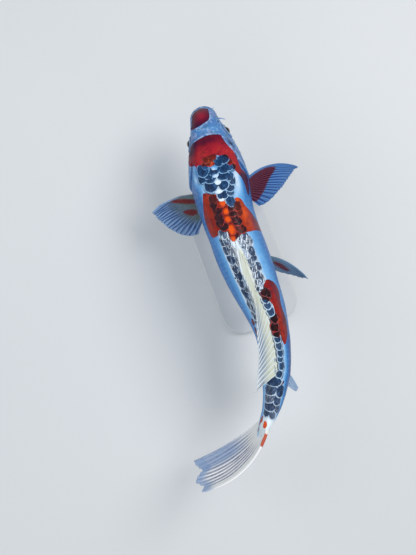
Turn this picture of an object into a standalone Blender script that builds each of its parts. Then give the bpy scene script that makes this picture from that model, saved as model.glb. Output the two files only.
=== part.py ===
"""A koi carp with few scales, held in a gentle S by a plain display stand.

The body is a loft of rounded sections along a curved spine, parted into head,
trunk and tail; each fin is a thickened fan of rays; the eyes sit in sockets and
the gill covers in recesses. Everything is worked out in millimetres and written
in metres. The origin is the middle of the underside of the stand's board.
"""

import math

import bmesh
import bpy
import numpy as np
from mathutils import Vector

# ---------------------------------------------------------------- named sizes
# Lengths in millimetres unless a name ends in _M; s is the distance along the
# spine from the tip of the snout, and the fish looks towards +Y.
SPINE_LENGTH = 490.0            # snout to the root of the tail fin
AXIS_HEIGHT = 150.0             # spine above the floor
SNOUT_XY = (-65.2, 214.6)       # where the snout stands over the base
HEAD_END = 118.0                # back edge of the gill covers
TRUNK_END = 300.0
BODY_END = 502.0                # the fleshy wedge that the tail fin grows from

# heading of the spine, as degrees from straight back (-Y) towards +X
BEND = ((0, 18.0), (40, 16.5), (80, 13.0), (120, 12.5), (160, 17.0), (200, 20.5),
        (250, 22.5), (290, 23.5), (320, 18.5), (345, 12.5), (370, 6.0), (400, -0.5),
        (430, -8.0), (460, -17.5), (490, -29.0), (520, -38.5))
# roll: how far the back leans to the fish's left, in degrees
ROLL = ((0, 5.0), (200, 4.5), (300, 4.5), (430, 5.5), (460, 2.0), (490, -6.0), (520, -10.0))

# s, half width, top, bottom, height of the widest line, roundness of top and bottom
STATIONS = ((0, 0.0, -8.0, -8.0, -8.0, 2.0, 2.0),
            (1, 6.0, -3.4, -12.6, -8.0, 2.0, 2.0),
            (4, 11.6, 3.0, -16.6, -8.2, 2.1, 2.1),
            (9, 16.2, 10.5, -20.2, -8.0, 2.2, 2.1),
            (16, 19.2, 17.8, -23.8, -7.6, 2.3, 2.1),
            (25, 21.9, 24.4, -27.6, -6.6, 2.35, 2.05),
            (36, 25.4, 30.2, -31.6, -5.4, 2.4, 2.0),
            (49, 29.8, 35.8, -36.0, -4.4, 2.45, 1.95),
            (64, 34.6, 41.4, -40.4, -3.6, 2.45, 1.95),
            (81, 39.0, 46.8, -45.0, -3.2, 2.4, 1.95),
            (100, 41.6, 52.0, -49.6, -3.0, 2.35, 1.95),
            (118, 42.0, 56.2, -53.4, -2.6, 2.3, 2.0),
            (140, 40.4, 60.6, -57.4, -2.0, 2.25, 2.05),
            (165, 38.6, 64.6, -60.8, -1.0, 2.2, 2.1),
            (190, 37.8, 67.2, -63.0, 0.0, 2.15, 2.15),
            (220, 38.0, 68.2, -64.2, 0.6, 2.15, 2.15),
            (250, 36.8, 66.8, -63.2, 1.0, 2.15, 2.1),
            (280, 33.6, 62.8, -60.2, 1.0, 2.15, 2.1),
            (310, 29.6, 56.4, -54.8, 0.8, 2.1, 2.05),
            (340, 25.4, 48.8, -47.8, 0.6, 2.1, 2.0),
            (370, 22.8, 41.4, -40.8, 0.4, 2.1, 2.0),
            (400, 20.8, 35.2, -35.0, 0.2, 2.1, 2.0),
            (430, 16.8, 30.6, -30.6, 0.0, 2.05, 2.0),
            (460, 12.0, 28.2, -28.2, 0.0, 2.0, 2.0),
            (480, 8.4, 28.0, -28.0, 0.0, 2.0, 2.0),
            (494, 4.6, 27.6, -27.6, 0.0, 2.0, 2.0),
            (502, 1.6, 26.6, -26.6, 0.0, 2.0, 2.0))


def smooth_table(xs, ys):
    """A monotone cubic through the points, as a function of arrays."""
    xs, ys = np.asarray(xs, float), np.asarray(ys, float)
    h, d = np.diff(xs), np.diff(ys) / np.diff(xs)
    m = np.zeros(len(xs))
    for i in range(1, len(xs) - 1):
        if d[i - 1] * d[i] > 0:
            w1, w2 = 2 * h[i] + h[i - 1], h[i] + 2 * h[i - 1]
            m[i] = (w1 + w2) / (w1 / d[i - 1] + w2 / d[i])
    m[0], m[-1] = d[0], d[-1]

    def f(x):
        x = np.asarray(x, float)
        i = np.clip(np.searchsorted(xs, x, side="right") - 1, 0, len(xs) - 2)
        t = (x - xs[i]) / h[i]
        t = np.where(x < xs[0], 0.0, np.where(x > xs[-1], 1.0, t))
        t2, t3 = t * t, t * t * t
        return ((2 * t3 - 3 * t2 + 1) * ys[i] + (t3 - 2 * t2 + t) * h[i] * m[i]
                + (3 * t2 - 2 * t3) * ys[i + 1] + (t3 - t2) * h[i] * m[i + 1])
    return f


HEADING = smooth_table([b[0] for b in BEND], [b[1] for b in BEND])
LEAN = smooth_table([b[0] for b in ROLL], [b[1] for b in ROLL])
UP = np.array([0.0, 0.0, 1.0])
_ROOT_S = [math.sqrt(r[0]) for r in STATIONS]
_COLUMNS = [smooth_table(_ROOT_S, [r[k] for r in STATIONS]) for k in range(1, 7)]
_FINE = np.linspace(0.0, 560.0, 5601)
_ANGLE = np.radians(HEADING(_FINE))
_STEP = _FINE[1] - _FINE[0]
_X = SNOUT_XY[0] + np.concatenate([[0], np.cumsum((np.sin(_ANGLE)[1:] + np.sin(_ANGLE)[:-1]) / 2 * _STEP)])
_Y = SNOUT_XY[1] - np.concatenate([[0], np.cumsum((np.cos(_ANGLE)[1:] + np.cos(_ANGLE)[:-1]) / 2 * _STEP)])


def spine(s):
    """Points on the spine, and the unit vectors back along it, to the fish's right and up through its back."""
    s = np.asarray(s, float)
    a, r = np.radians(HEADING(s)), np.radians(LEAN(s))[..., None]
    p = np.stack([np.interp(s, _FINE, _X), np.interp(s, _FINE, _Y), np.full(s.shape, AXIS_HEIGHT)], -1)
    zero = np.zeros(s.shape)
    back = np.stack([np.sin(a), -np.cos(a), zero], -1)
    level = np.stack([np.cos(a), np.sin(a), zero], -1)
    return p, back, level * np.cos(r) + UP * np.sin(r), UP * np.cos(r) - level * np.sin(r)


def section(s, angle, grow=0.0):
    """(to the right, up) of the skin at s and at an angle from the back towards the fish's right."""
    root = np.sqrt(np.maximum(np.asarray(s, float), 0.0))
    w, top, bottom, mid, n_top, n_low = [c(root) for c in _COLUMNS]
    c, k = np.cos(angle), np.sin(angle)
    power = 2.0 / np.where(c >= 0, n_top, n_low)
    high = np.where(c >= 0, top - mid, mid - bottom) + grow
    side = (w + grow) * np.sign(k) * np.abs(k) ** power
    return side, mid + high * np.sign(c) * np.abs(c) ** power


def skin(s, angle, grow=0.0):
    """Points of the body's surface, in millimetres."""
    s, angle = np.broadcast_arrays(np.asarray(s, float), np.asarray(angle, float))
    p, _, right, upward = spine(s)
    side, up = section(s, angle, grow)
    return p + right * side[..., None] + upward * up[..., None]


def side_at(s, height):
    """Half width of the body at a height over the spine."""
    w, top, bottom, mid, n_top, n_low = [float(c(math.sqrt(s))) for c in _COLUMNS]
    n, h = (n_top, top - mid) if height > mid else (n_low, mid - bottom)
    return w * max(0.0, 1 - abs((height - mid) / h) ** n) ** (1 / n)


def at(s, side, up):
    """The point at s along the spine, so far to the fish's right and so far up, in millimetres."""
    s, side, up = np.broadcast_arrays(np.asarray(s, float), np.asarray(side, float), np.asarray(up, float))
    p, _, right, upward = spine(s)
    return p + right * side[..., None] + upward * up[..., None]


def rays(u, v, root, first, bend_towards, length, bend):
    """Fin rays as arcs: root and first (unit) per ray, bending by bend radians towards the third vector."""
    u, v = np.asarray(u, float), np.asarray(v, float)
    a = np.maximum(np.abs(bend), 1e-4)
    s = v[None, :] * a[:, None]
    e = bend_towards - np.sum(bend_towards * first, -1, keepdims=True) * first
    e = e / np.linalg.norm(e, axis=-1, keepdims=True) * np.sign(bend + 1e-9)[:, None]
    r = (length / a)[:, None]
    return (root[:, None, :] + (r * np.sin(s))[..., None] * first[:, None, :]
            + (r * (1 - np.cos(s)))[..., None] * e[:, None, :])


def unit(x):
    return x / np.linalg.norm(x, axis=-1, keepdims=True)


# Paired fins: s of the root's front and back, height of both, the rays' heading at five
# places across the fan (degrees back from straight out), their length, how much
# each bends back, and how far it slopes down. side is +1 for the fish's right.
PAIRED = {
    "pectoral_fin_left": dict(side=-1, s=(122, 136), up=(-22, -34), inset=5.0, heading=(-18, 0, 20, 41, 66),
                              length=(80, 74, 68, 61, 46), bend=(50, 34, 20, 10, 4), down=(6, 9, 12, 15, 18)),
    "pectoral_fin_right": dict(side=1, s=(119, 134), up=(-22, -34), inset=5.0, heading=(-41, -29, -13, 6, 46),
                               length=(93, 82, 68, 53, 32), bend=(74, 50, 32, 16, 6), down=(3, 5, 8, 12, 16)),
    "pelvic_fin_left": dict(side=-1, s=(232, 244), up=(-58, -58), inset=5.0, heading=(80, 82, 84, 86, 88),
                            length=(80, 78, 73, 64, 48), bend=(12, 10, 8, 5, 3), down=(9, 14, 19, 25, 31)),
    "pelvic_fin_right": dict(side=1, s=(230, 243), up=(-58, -58), inset=5.0, heading=(15, 22, 27, 31, 36),
                             length=(98, 96, 89, 76, 56), bend=(60, 42, 28, 16, 6), down=(5, 10, 16, 23, 30)),
}
FAN = np.linspace(0.0, 1.0, 5)


def paired_fin(name, u, v):
    f = PAIRED[name]
    u = np.asarray(u, float)
    get = lambda key: smooth_table(FAN, f[key])(u)
    s = np.interp(u, [0, 1], f["s"])
    up = np.interp(u, [0, 1], f["up"])
    out = np.array([side_at(a, b) for a, b in zip(s, up)]) - f["inset"]
    p, back, right, upward = spine(s)
    root = p + right * f["side"] * out[:, None] + upward * up[:, None]
    out_dir = unit(right * [1.0, 1.0, 0.0]) * f["side"]
    h, d = np.radians(get("heading"))[:, None], np.radians(get("down"))[:, None]
    first = (out_dir * np.cos(h) + back * np.sin(h)) * np.cos(d) - UP * np.sin(d)
    aft = (back * np.cos(h) - out_dir * np.sin(h)) - 0.12 * UP
    return rays(u, v, root, unit(first), aft, get("length"), np.radians(get("bend")))


# Dorsal fin: folded back and leaning to the fish's left.
DORSAL = dict(s=(196, 398), sink=4.0, tilt=(25, 25, 30, 38, 48), lean=(26, 40, 50, 59, 66),
              length=(58, 52, 46, 44, 44), bend=(4, 6, 9, 12, 10))


def dorsal_fin(u, v):
    f = DORSAL
    u = np.asarray(u, float)
    get = lambda key: smooth_table(FAN, f[key])(u)
    s = np.interp(u, [0, 1], f["s"])
    p, back, right, upward = spine(s)
    top = _COLUMNS[1](np.sqrt(s)) - f["sink"]
    root = p + upward * top[:, None]
    t, l = np.radians(get("tilt"))[:, None], np.radians(get("lean"))[:, None]
    up_left = upward * np.cos(l) - right * np.sin(l)
    first = back * np.cos(t) + up_left * np.sin(t)
    over = back * 0.5 - right * 0.6 - UP * 0.6
    return rays(u, v, root, unit(first), over, get("length"), np.radians(get("bend")))


# Anal fin: swept back and leaning to the fish's right.
ANAL = dict(s=(383, 413), sink=4.0, tilt=(46, 43, 39, 34, 28), lean=(52, 52, 51, 50, 48),
            length=(67, 63, 54, 44, 34), bend=(14, 10, 7, 4, 2))


def anal_fin(u, v):
    f = ANAL
    u = np.asarray(u, float)
    get = lambda key: smooth_table(FAN, f[key])(u)
    s = np.interp(u, [0, 1], f["s"])
    p, back, right, upward = spine(s)
    low = _COLUMNS[2](np.sqrt(s)) + f["sink"]
    root = p + upward * low[:, None]
    t, l = np.radians(get("tilt"))[:, None], np.radians(get("lean"))[:, None]
    first = back * np.cos(t) + (-UP * np.cos(l) + right * np.sin(l)) * np.sin(t)
    return rays(u, v, root, unit(first), back, get("length"), np.radians(get("bend")))


# Tail fin: two lobes that grow from the wedge at the end of the body, rolled
# so that the upper lobe leans to the fish's right, and swept to its left.
TAIL_ROOT = 484.0
# share of the half height at the root, ray's rise, length, sweep; from the middle ray out to the lobe's edge
LOBES = {
    "tail_fin_upper": dict(way=1, roll=16.0, rise=(0, 8, 16, 25, 33), length=(104, 108, 115, 124, 132), bend=(43, 46, 49, 52, 54)),
    "tail_fin_lower": dict(way=-1, roll=31.0, rise=(0, 8, 16, 25, 33), length=(104, 109, 118, 129, 140), bend=(43, 37, 30, 23, 17)),
}


def tail_lobe(name, u, v):
    f = LOBES[name]
    u = np.asarray(u, float)
    get = lambda key: smooth_table(FAN, f[key])(u)
    p, back, right, upward = spine(np.full(u.shape, TAIL_ROOT))
    roll = math.radians(f["roll"])
    right = unit(right * [1.0, 1.0, 0.0])
    share = 0.4 + 24.0 * u
    root = p + upward * (share * f["way"])[:, None] + back * (-6.0 * u ** 2)[:, None]
    rise = np.radians(get("rise"))[:, None] * f["way"]
    fan_up = UP * math.cos(roll) + right * math.sin(roll)
    first = back * np.cos(rise) + fan_up * np.sin(rise)
    return rays(u, v, root, unit(first), -right, get("length"), np.radians(get("bend")))


# Eyes: s, height and radius of the ball, and how far its middle lies inside the skin.
EYE = dict(s={1: 46.0, -1: 49.5}, up=6.0, radius=8.2, depth=3.6)


def eye_centre(side):
    s = EYE["s"][side]
    return at(s, side * (side_at(s, EYE["up"]) - EYE["depth"]), EYE["up"])


# ---------------------------------------------------------------- the solids
SEGMENTS = 36                   # points round the body
HEAD_RINGS = (1, 4, 9, 16, 25, 36, 49, 64, 81, 99)
TRUNK_RINGS = tuple(np.linspace(118, 300, 12)[1:-1])
TAIL_RINGS = (316, 334, 352, 370, 388, 406, 424, 442, 460, 476, 488, 495)
PART_LINE = 0.3                 # width of the cuts that part the body
CLEARANCE = 0.35                # between a fin, eye or barbel and the skin round it
FIN_ROOT, FIN_TIP = 2.6, 0.9    # thickness of a fin
PLATE = dict(s=94.0, half_length=21.0, angle=94.0, half_angle=38.0, proud=0.7, thick=4.6)
MOUTH = dict(s=-1.0, up=-10.0, half=(13.5, 15.0, 0.8), droop=9.0)
BARBELS = {                     # s, side and height of the root, direction out, back and up, length
    "barbel_corner": dict(s=20.5, up=-14.0, out=0.86, back=0.12, rise=-0.50, length=16.0, thick=2.6),
    "barbel_upper": dict(s=8.0, up=-4.5, out=0.80, back=-0.35, rise=-0.48, length=9.5, thick=1.9),
}
ROD_S, ROD_RADIUS = (140.0, 310.0), 5.0
BASE_SIZE = (238.0, 126.0, 14.0)
BASE_CORNER, BASE_EDGE, SOCKET_FLOOR = 34.0, 2.5, 6.0


def clear_scene():
    for o in list(bpy.data.objects):
        bpy.data.objects.remove(o, do_unlink=True)


def material(name, colour, roughness, metallic=0.0):
    m = bpy.data.materials.new(name)
    m.use_nodes = True
    b = m.node_tree.nodes["Principled BSDF"]
    b.inputs["Base Color"].default_value = (*colour, 1.0)
    b.inputs["Roughness"].default_value = roughness
    b.inputs["Metallic"].default_value = metallic
    m.diffuse_color = (*colour, 1.0)
    return m


def solid(name, points, faces, mat, origin=None, parent=None, sharp=40.0):
    """An object whose mesh has these points (millimetres) and faces, facing out."""
    points = np.asarray(points, float) * 0.001
    origin = points.mean(0) if origin is None else np.asarray(origin, float) * 0.001
    mesh = bpy.data.meshes.new(name)
    bm = bmesh.new()
    verts = [bm.verts.new(p - origin) for p in points]
    for f in faces:
        bm.faces.new([verts[i] for i in f])
    bmesh.ops.recalc_face_normals(bm, faces=bm.faces)
    bm.to_mesh(mesh)
    bm.free()
    mesh.materials.append(mat)
    mesh.shade_smooth()
    mesh.set_sharp_from_angle(angle=math.radians(sharp))
    o = bpy.data.objects.new(name, mesh)
    bpy.context.collection.objects.link(o)
    o.location = origin
    if parent is not None:
        o.parent = parent
        o.location = Vector(origin) - parent.location
    return o


def tube(rings, pole=None):
    """Points and faces of a closed skin over rings of equal count; pole closes the first ring with a fan."""
    n = len(rings[0])
    points = [p for ring in rings for p in ring]
    faces = []
    for r in range(len(rings) - 1):
        for i in range(n):
            j = (i + 1) % n
            faces.append((r * n + i, r * n + j, (r + 1) * n + j, (r + 1) * n + i))
    if pole is not None:
        points.append(pole)
        faces += [(len(points) - 1, (i + 1) % n, i) for i in range(n)]
    else:
        faces.append(tuple(range(n - 1, -1, -1)))
    points.append(np.mean(rings[-1], axis=0))
    last = (len(rings) - 1) * n
    faces += [(last + i, last + (i + 1) % n, len(points) - 1) for i in range(n)]
    return points, faces


def body_rings(stations, grow=0.0):
    angle = np.linspace(0.0, 2 * math.pi, SEGMENTS, endpoint=False)
    return [skin(np.full(SEGMENTS, float(s)), angle, grow) for s in stations]


def sheet(grid, thickness):
    """Points and faces of a grid of points thickened evenly to both sides."""
    across = np.gradient(grid, axis=0)
    along = np.gradient(grid, axis=1)
    normal = unit(np.cross(across, along))
    a, b = grid + normal * thickness[..., None] / 2, grid - normal * thickness[..., None] / 2
    nu, nv = grid.shape[:2]
    points = list(a.reshape(-1, 3)) + list(b.reshape(-1, 3))
    top = lambda i, j: i * nv + j
    low = lambda i, j: nu * nv + i * nv + j
    faces = []
    for i in range(nu - 1):
        for j in range(nv - 1):
            faces.append((top(i, j), top(i + 1, j), top(i + 1, j + 1), top(i, j + 1)))
            faces.append((low(i, j), low(i, j + 1), low(i + 1, j + 1), low(i + 1, j)))
    rim = ([(i, 0) for i in range(nu)] + [(nu - 1, j) for j in range(1, nv)]
           + [(i, nv - 1) for i in range(nu - 2, -1, -1)] + [(0, j) for j in range(nv - 2, 0, -1)])
    for k, e in enumerate(rim):
        f = rim[(k + 1) % len(rim)]
        faces.append((top(*f), top(*e), low(*e), low(*f)))
    return points, faces


def fin(name, shape, across, along, mat, parent, root=FIN_ROOT, tip=FIN_TIP):
    u = np.linspace(0.0, 1.0, across)
    v = np.linspace(0.0, 1.0, along)
    grid = shape(u, v)
    front = np.exp(-((u / 0.10) ** 2))[:, None]
    thickness = root + (tip - root) * v[None, :] ** 0.7 + 0.8 * front * (1 - v[None, :])
    points, faces = sheet(grid, thickness)
    return solid(name, points, faces, mat, origin=grid[:, 0].mean(0), parent=parent, sharp=60.0)


def cut(target, cutter):
    m = target.modifiers.new("cut_" + cutter.name, "BOOLEAN")
    m.operation, m.solver, m.object = "DIFFERENCE", "EXACT", cutter
    cutter.hide_render = True
    cutter.display_type = "WIRE"


def ball(name, centre, radii, mat, parent=None, around=24, rings=13, basis=None):
    basis = np.eye(3) if basis is None else basis
    rows = []
    for k in range(1, rings):
        t = math.pi * k / rings
        a = np.linspace(0.0, 2 * math.pi, around, endpoint=False)
        rows.append(np.stack([np.sin(t) * np.cos(a), np.sin(t) * np.sin(a), np.full(around, np.cos(t))], -1))
    n = around
    pts = [p for row in rows for p in row]
    faces = []
    for r in range(len(rows) - 1):
        for i in range(n):
            j = (i + 1) % n
            faces.append((r * n + i, r * n + j, (r + 1) * n + j, (r + 1) * n + i))
    pts += [np.array([0, 0, 1.0]), np.array([0, 0, -1.0])]
    faces += [(len(pts) - 2, (i + 1) % n, i) for i in range(n)]
    last = (len(rows) - 1) * n
    faces += [(last + i, last + (i + 1) % n, len(pts) - 1) for i in range(n)]
    pts = np.asarray(pts) * np.asarray(radii) @ basis + np.asarray(centre)
    return solid(name, pts, faces, mat, origin=centre, parent=parent)


def cylinder(name, x, y, z0, z1, radius, mat, parent=None, around=28):
    a = np.linspace(0.0, 2 * math.pi, around, endpoint=False)
    ring = lambda z: np.stack([x + radius * np.cos(a), y + radius * np.sin(a), np.full(around, z)], -1)
    points, faces = tube([ring(z0), ring(z1)])
    return solid(name, points, faces, mat, origin=(x, y, z0), parent=parent, sharp=30.0)


def gill_plate(side, spread, low, high):
    """Points and faces of a curved plate over the gills: an oval in s and angle, between two depths."""
    p = PLATE
    around, n = 26, 2.4
    phi = np.linspace(0.0, 2 * math.pi, around, endpoint=False)
    c, k = np.cos(phi), np.sin(phi)
    ox, oy = np.sign(c) * np.abs(c) ** (2 / n), np.sign(k) * np.abs(k) ** (2 / n)

    def ring(share, grow, wider):
        s = p["s"] + (p["half_length"] + wider) * share * ox
        a = math.radians(p["angle"]) + (math.radians(p["half_angle"]) + wider / 42.0) * share * oy
        return skin(s, side * a, grow)
    shares = (1.0, 0.82, 0.55, 0.28)
    rings = [ring(q, low, spread) for q in shares[::-1]] + [ring(q, high, spread) for q in shares]
    n_ = around
    points = [q for r in rings for q in r]
    faces = []
    for r in range(len(rings) - 1):
        for i in range(n_):
            j = (i + 1) % n_
            faces.append((r * n_ + i, r * n_ + j, (r + 1) * n_ + j, (r + 1) * n_ + i))
    mid_s, mid_a = np.array([p["s"]]), np.array([side * math.radians(p["angle"])])
    points += [skin(mid_s, mid_a, low)[0], skin(mid_s, mid_a, high)[0]]
    last = (len(rings) - 1) * n_
    faces += [(len(points) - 2, (i + 1) % n_, i) for i in range(n_)]
    faces += [(last + i, last + (i + 1) % n_, len(points) - 1) for i in range(n_)]
    return points, faces


def barbel(name, side, shape, mat, parent):
    b = shape
    start = at(b["s"], side * (side_at(b["s"], b["up"]) - 2.5), b["up"])
    _, back, right, _ = spine(b["s"])
    out = unit(right * side * b["out"] + back * b["back"] + UP * b["rise"])
    rings = []
    for t in np.linspace(0.0, 1.0, 8):
        centre = start + out * b["length"] * t + (back * 0.30 - UP * 0.16) * b["length"] * t * t
        d = unit(out + (back * 0.60 - UP * 0.32) * t)
        e = unit(np.cross(d, UP))
        f = np.cross(d, e)
        radius = b["thick"] / 2 * (1 - 0.55 * t)
        a = np.linspace(0.0, 2 * math.pi, 8, endpoint=False)[:, None]
        rings.append(centre + radius * (np.cos(a) * e + np.sin(a) * f))
    points, faces = tube(rings)
    return solid(name, points, faces, mat, origin=start, parent=parent)


def stand_base(mat, angle, rods, parent):
    """A flat board with round corners, its top edge eased, and a socket for each rod."""
    length, width, high = BASE_SIZE
    mesh = bpy.data.meshes.new("stand_base")
    bm = bmesh.new()
    outline = []
    for k, (cx, cy) in enumerate(((1, 1), (-1, 1), (-1, -1), (1, -1))):
        for t in np.linspace(0, math.pi / 2, 9):
            a = k * math.pi / 2 + t
            outline.append((cx * (width / 2 - BASE_CORNER) + BASE_CORNER * math.cos(a),
                            cy * (length / 2 - BASE_CORNER) + BASE_CORNER * math.sin(a)))
    verts = [bm.verts.new((x * 0.001, y * 0.001, 0.0)) for x, y in outline]
    face = bm.faces.new(verts)
    up = bmesh.ops.extrude_face_region(bm, geom=[face])
    top = [v for v in up["geom"] if isinstance(v, bmesh.types.BMVert)]
    bmesh.ops.translate(bm, verts=top, vec=(0, 0, high * 0.001))
    top_face = next(f for f in bm.faces if all(abs(v.co.z - high * 0.001) < 1e-9 for v in f.verts))
    bmesh.ops.bevel(bm, geom=list(top_face.edges), offset=BASE_EDGE * 0.001, segments=2, profile=0.5, affect="EDGES")
    bmesh.ops.recalc_face_normals(bm, faces=bm.faces)
    bm.to_mesh(mesh)
    bm.free()
    mesh.materials.append(mat)
    mesh.shade_smooth()
    mesh.set_sharp_from_angle(angle=math.radians(30))
    o = bpy.data.objects.new("stand_base", mesh)
    bpy.context.collection.objects.link(o)
    o.parent = parent
    o.rotation_euler = (0, 0, angle)
    for k, (x, y) in enumerate(rods):
        cut(o, cylinder(f"socket_{k}", x, y, SOCKET_FLOOR, high + 5, ROD_RADIUS + 0.3, mat, parent))
    return o


def main():
    clear_scene()
    white = material("koi_skin", (0.72, 0.80, 0.90), 0.28, 0.15)
    flank = material("koi_flank", (0.62, 0.74, 0.90), 0.28, 0.15)
    red = material("koi_red", (0.55, 0.06, 0.03), 0.30)
    fin_mat = material("koi_fin", (0.78, 0.80, 0.80), 0.40)
    eye_mat = material("koi_eye", (0.02, 0.02, 0.025), 0.08)
    barbel_mat = material("koi_barbel", (0.75, 0.70, 0.72), 0.40)
    board = material("stand_board", (0.80, 0.80, 0.79), 0.45)
    steel = material("stand_steel", (0.62, 0.63, 0.65), 0.30, 1.0)

    koi = bpy.data.objects.new("koi", None)
    koi.location = (0.0, 0.0, AXIS_HEIGHT * 0.001)
    bpy.context.collection.objects.link(koi)
    stand = bpy.data.objects.new("stand", None)
    bpy.context.collection.objects.link(stand)
    bpy.context.view_layer.update()

    # the body, parted by two plane cuts square to the spine
    half = PART_LINE / 2
    head = solid("head", *tube(body_rings(HEAD_RINGS + (HEAD_END - half,)), pole=skin(0.0, 0.0)), red, parent=koi)
    solid("trunk", *tube(body_rings((HEAD_END + half,) + TRUNK_RINGS + (TRUNK_END - half,))), white, parent=koi)
    solid("tail", *tube(body_rings((TRUNK_END + half,) + TAIL_RINGS + (BODY_END,))), flank, parent=koi)
    rings = HEAD_RINGS + (HEAD_END,) + TRUNK_RINGS + (TRUNK_END,) + TAIL_RINGS + (BODY_END + 0.35,)
    room = solid("body_room", *tube(body_rings(rings, CLEARANCE), pole=skin(0.0, 0.0) - spine(0.0)[1] * CLEARANCE),
                 white, parent=koi)
    room.hide_render = True
    room.display_type = "WIRE"

    # fins
    for name in PAIRED:
        long_fin = name.startswith("pectoral")
        fin(name, lambda u, v, n=name: paired_fin(n, u, v), 10 if long_fin else 7, 8 if long_fin else 7, fin_mat, koi)
    fin("dorsal_fin", dorsal_fin, 17, 5, fin_mat, koi, root=2.8)
    fin("anal_fin", anal_fin, 7, 6, fin_mat, koi)
    for name in LOBES:
        fin(name, lambda u, v, n=name: tail_lobe(n, u, v), 9, 9, fin_mat, koi, root=3.0)
    for name in (*PAIRED, "dorsal_fin", "anal_fin", *LOBES):
        cut(bpy.data.objects[name], room)

    # eyes in their sockets, gill plates in their recesses, the mouth and the barbels
    for side, word in ((1, "right"), (-1, "left")):
        centre = eye_centre(side)
        r = EYE["radius"]
        ball("eye_" + word, centre, (r, r, r), eye_mat, koi, 20, 11)
        cut(head, ball("eye_room_" + word, centre, (r + CLEARANCE,) * 3, eye_mat, koi, 20, 11))
        points, faces = gill_plate(side, 0.0, -PLATE["thick"] + PLATE["proud"], PLATE["proud"])
        solid("gill_cover_" + word, points, faces, white, parent=koi)
        points, faces = gill_plate(side, CLEARANCE, -PLATE["thick"] + PLATE["proud"] - CLEARANCE, 8.0)
        cut(head, solid("gill_room_" + word, points, faces, white, parent=koi))
        for kind, shape in BARBELS.items():
            name = f"{kind}_{word}"
            barbel(name, side, shape, barbel_mat, koi)
            cut(bpy.data.objects[name], room)
    _, back, right, _ = spine(0.0)
    droop = math.radians(MOUTH["droop"])
    deep = back * math.cos(droop) - UP * math.sin(droop)
    basis = np.stack([right, deep, np.cross(right, deep)])
    cut(head, ball("mouth_room", at(0.0, 0.0, MOUTH["up"]) + back * MOUTH["s"], MOUTH["half"], red, koi, 20, 9, basis))

    # the display stand
    feet = [skin(s, math.pi)[:2] for s in ROD_S]
    along = feet[0] - feet[1]
    stand_base(board, math.atan2(-along[0], along[1]), feet, stand)
    for (x, y), word in zip(feet, ("front", "rear")):
        rod = cylinder("stand_rod_" + word, x, y, SOCKET_FLOOR + 0.3, AXIS_HEIGHT - 25, ROD_RADIUS, steel, stand)
        cut(rod, room)


main()
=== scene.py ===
"""Looks of the koi carp on its display stand: one skin, fins with rays, back scales, eyes, barbels and stand."""
import math

import bpy
import numpy as np
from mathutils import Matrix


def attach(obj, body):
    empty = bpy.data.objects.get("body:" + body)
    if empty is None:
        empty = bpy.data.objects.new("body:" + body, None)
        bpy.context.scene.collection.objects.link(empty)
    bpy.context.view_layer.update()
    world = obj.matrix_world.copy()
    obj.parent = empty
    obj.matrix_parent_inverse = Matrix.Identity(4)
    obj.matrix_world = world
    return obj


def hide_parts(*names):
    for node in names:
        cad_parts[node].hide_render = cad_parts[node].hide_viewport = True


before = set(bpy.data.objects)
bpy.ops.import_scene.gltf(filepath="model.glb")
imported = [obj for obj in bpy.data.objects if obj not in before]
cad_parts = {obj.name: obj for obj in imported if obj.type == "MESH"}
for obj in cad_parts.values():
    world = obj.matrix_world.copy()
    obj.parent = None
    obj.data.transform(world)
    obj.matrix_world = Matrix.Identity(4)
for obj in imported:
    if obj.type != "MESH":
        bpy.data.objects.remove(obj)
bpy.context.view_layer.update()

# ---------------------------------------------------------------- named sizes
# Lengths in millimetres unless a name ends in _M; s is the distance along the
# spine from the tip of the snout, and the fish looks towards +Y.
SPINE_LENGTH = 490.0            # snout to the root of the tail fin
AXIS_HEIGHT = 150.0             # spine above the floor
SNOUT_XY = (-65.2, 214.6)       # where the snout stands over the base
HEAD_END = 118.0                # back edge of the gill covers
TRUNK_END = 300.0
BODY_END = 502.0                # the fleshy wedge that the tail fin grows from

# heading of the spine, as degrees from straight back (-Y) towards +X
BEND = ((0, 18.0), (40, 16.5), (80, 13.0), (120, 12.5), (160, 17.0), (200, 20.5),
        (250, 22.5), (290, 23.5), (320, 18.5), (345, 12.5), (370, 6.0), (400, -0.5),
        (430, -8.0), (460, -17.5), (490, -29.0), (520, -38.5))
# roll: how far the back leans to the fish's left, in degrees
ROLL = ((0, 5.0), (200, 4.5), (300, 4.5), (430, 5.5), (460, 2.0), (490, -6.0), (520, -10.0))

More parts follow.
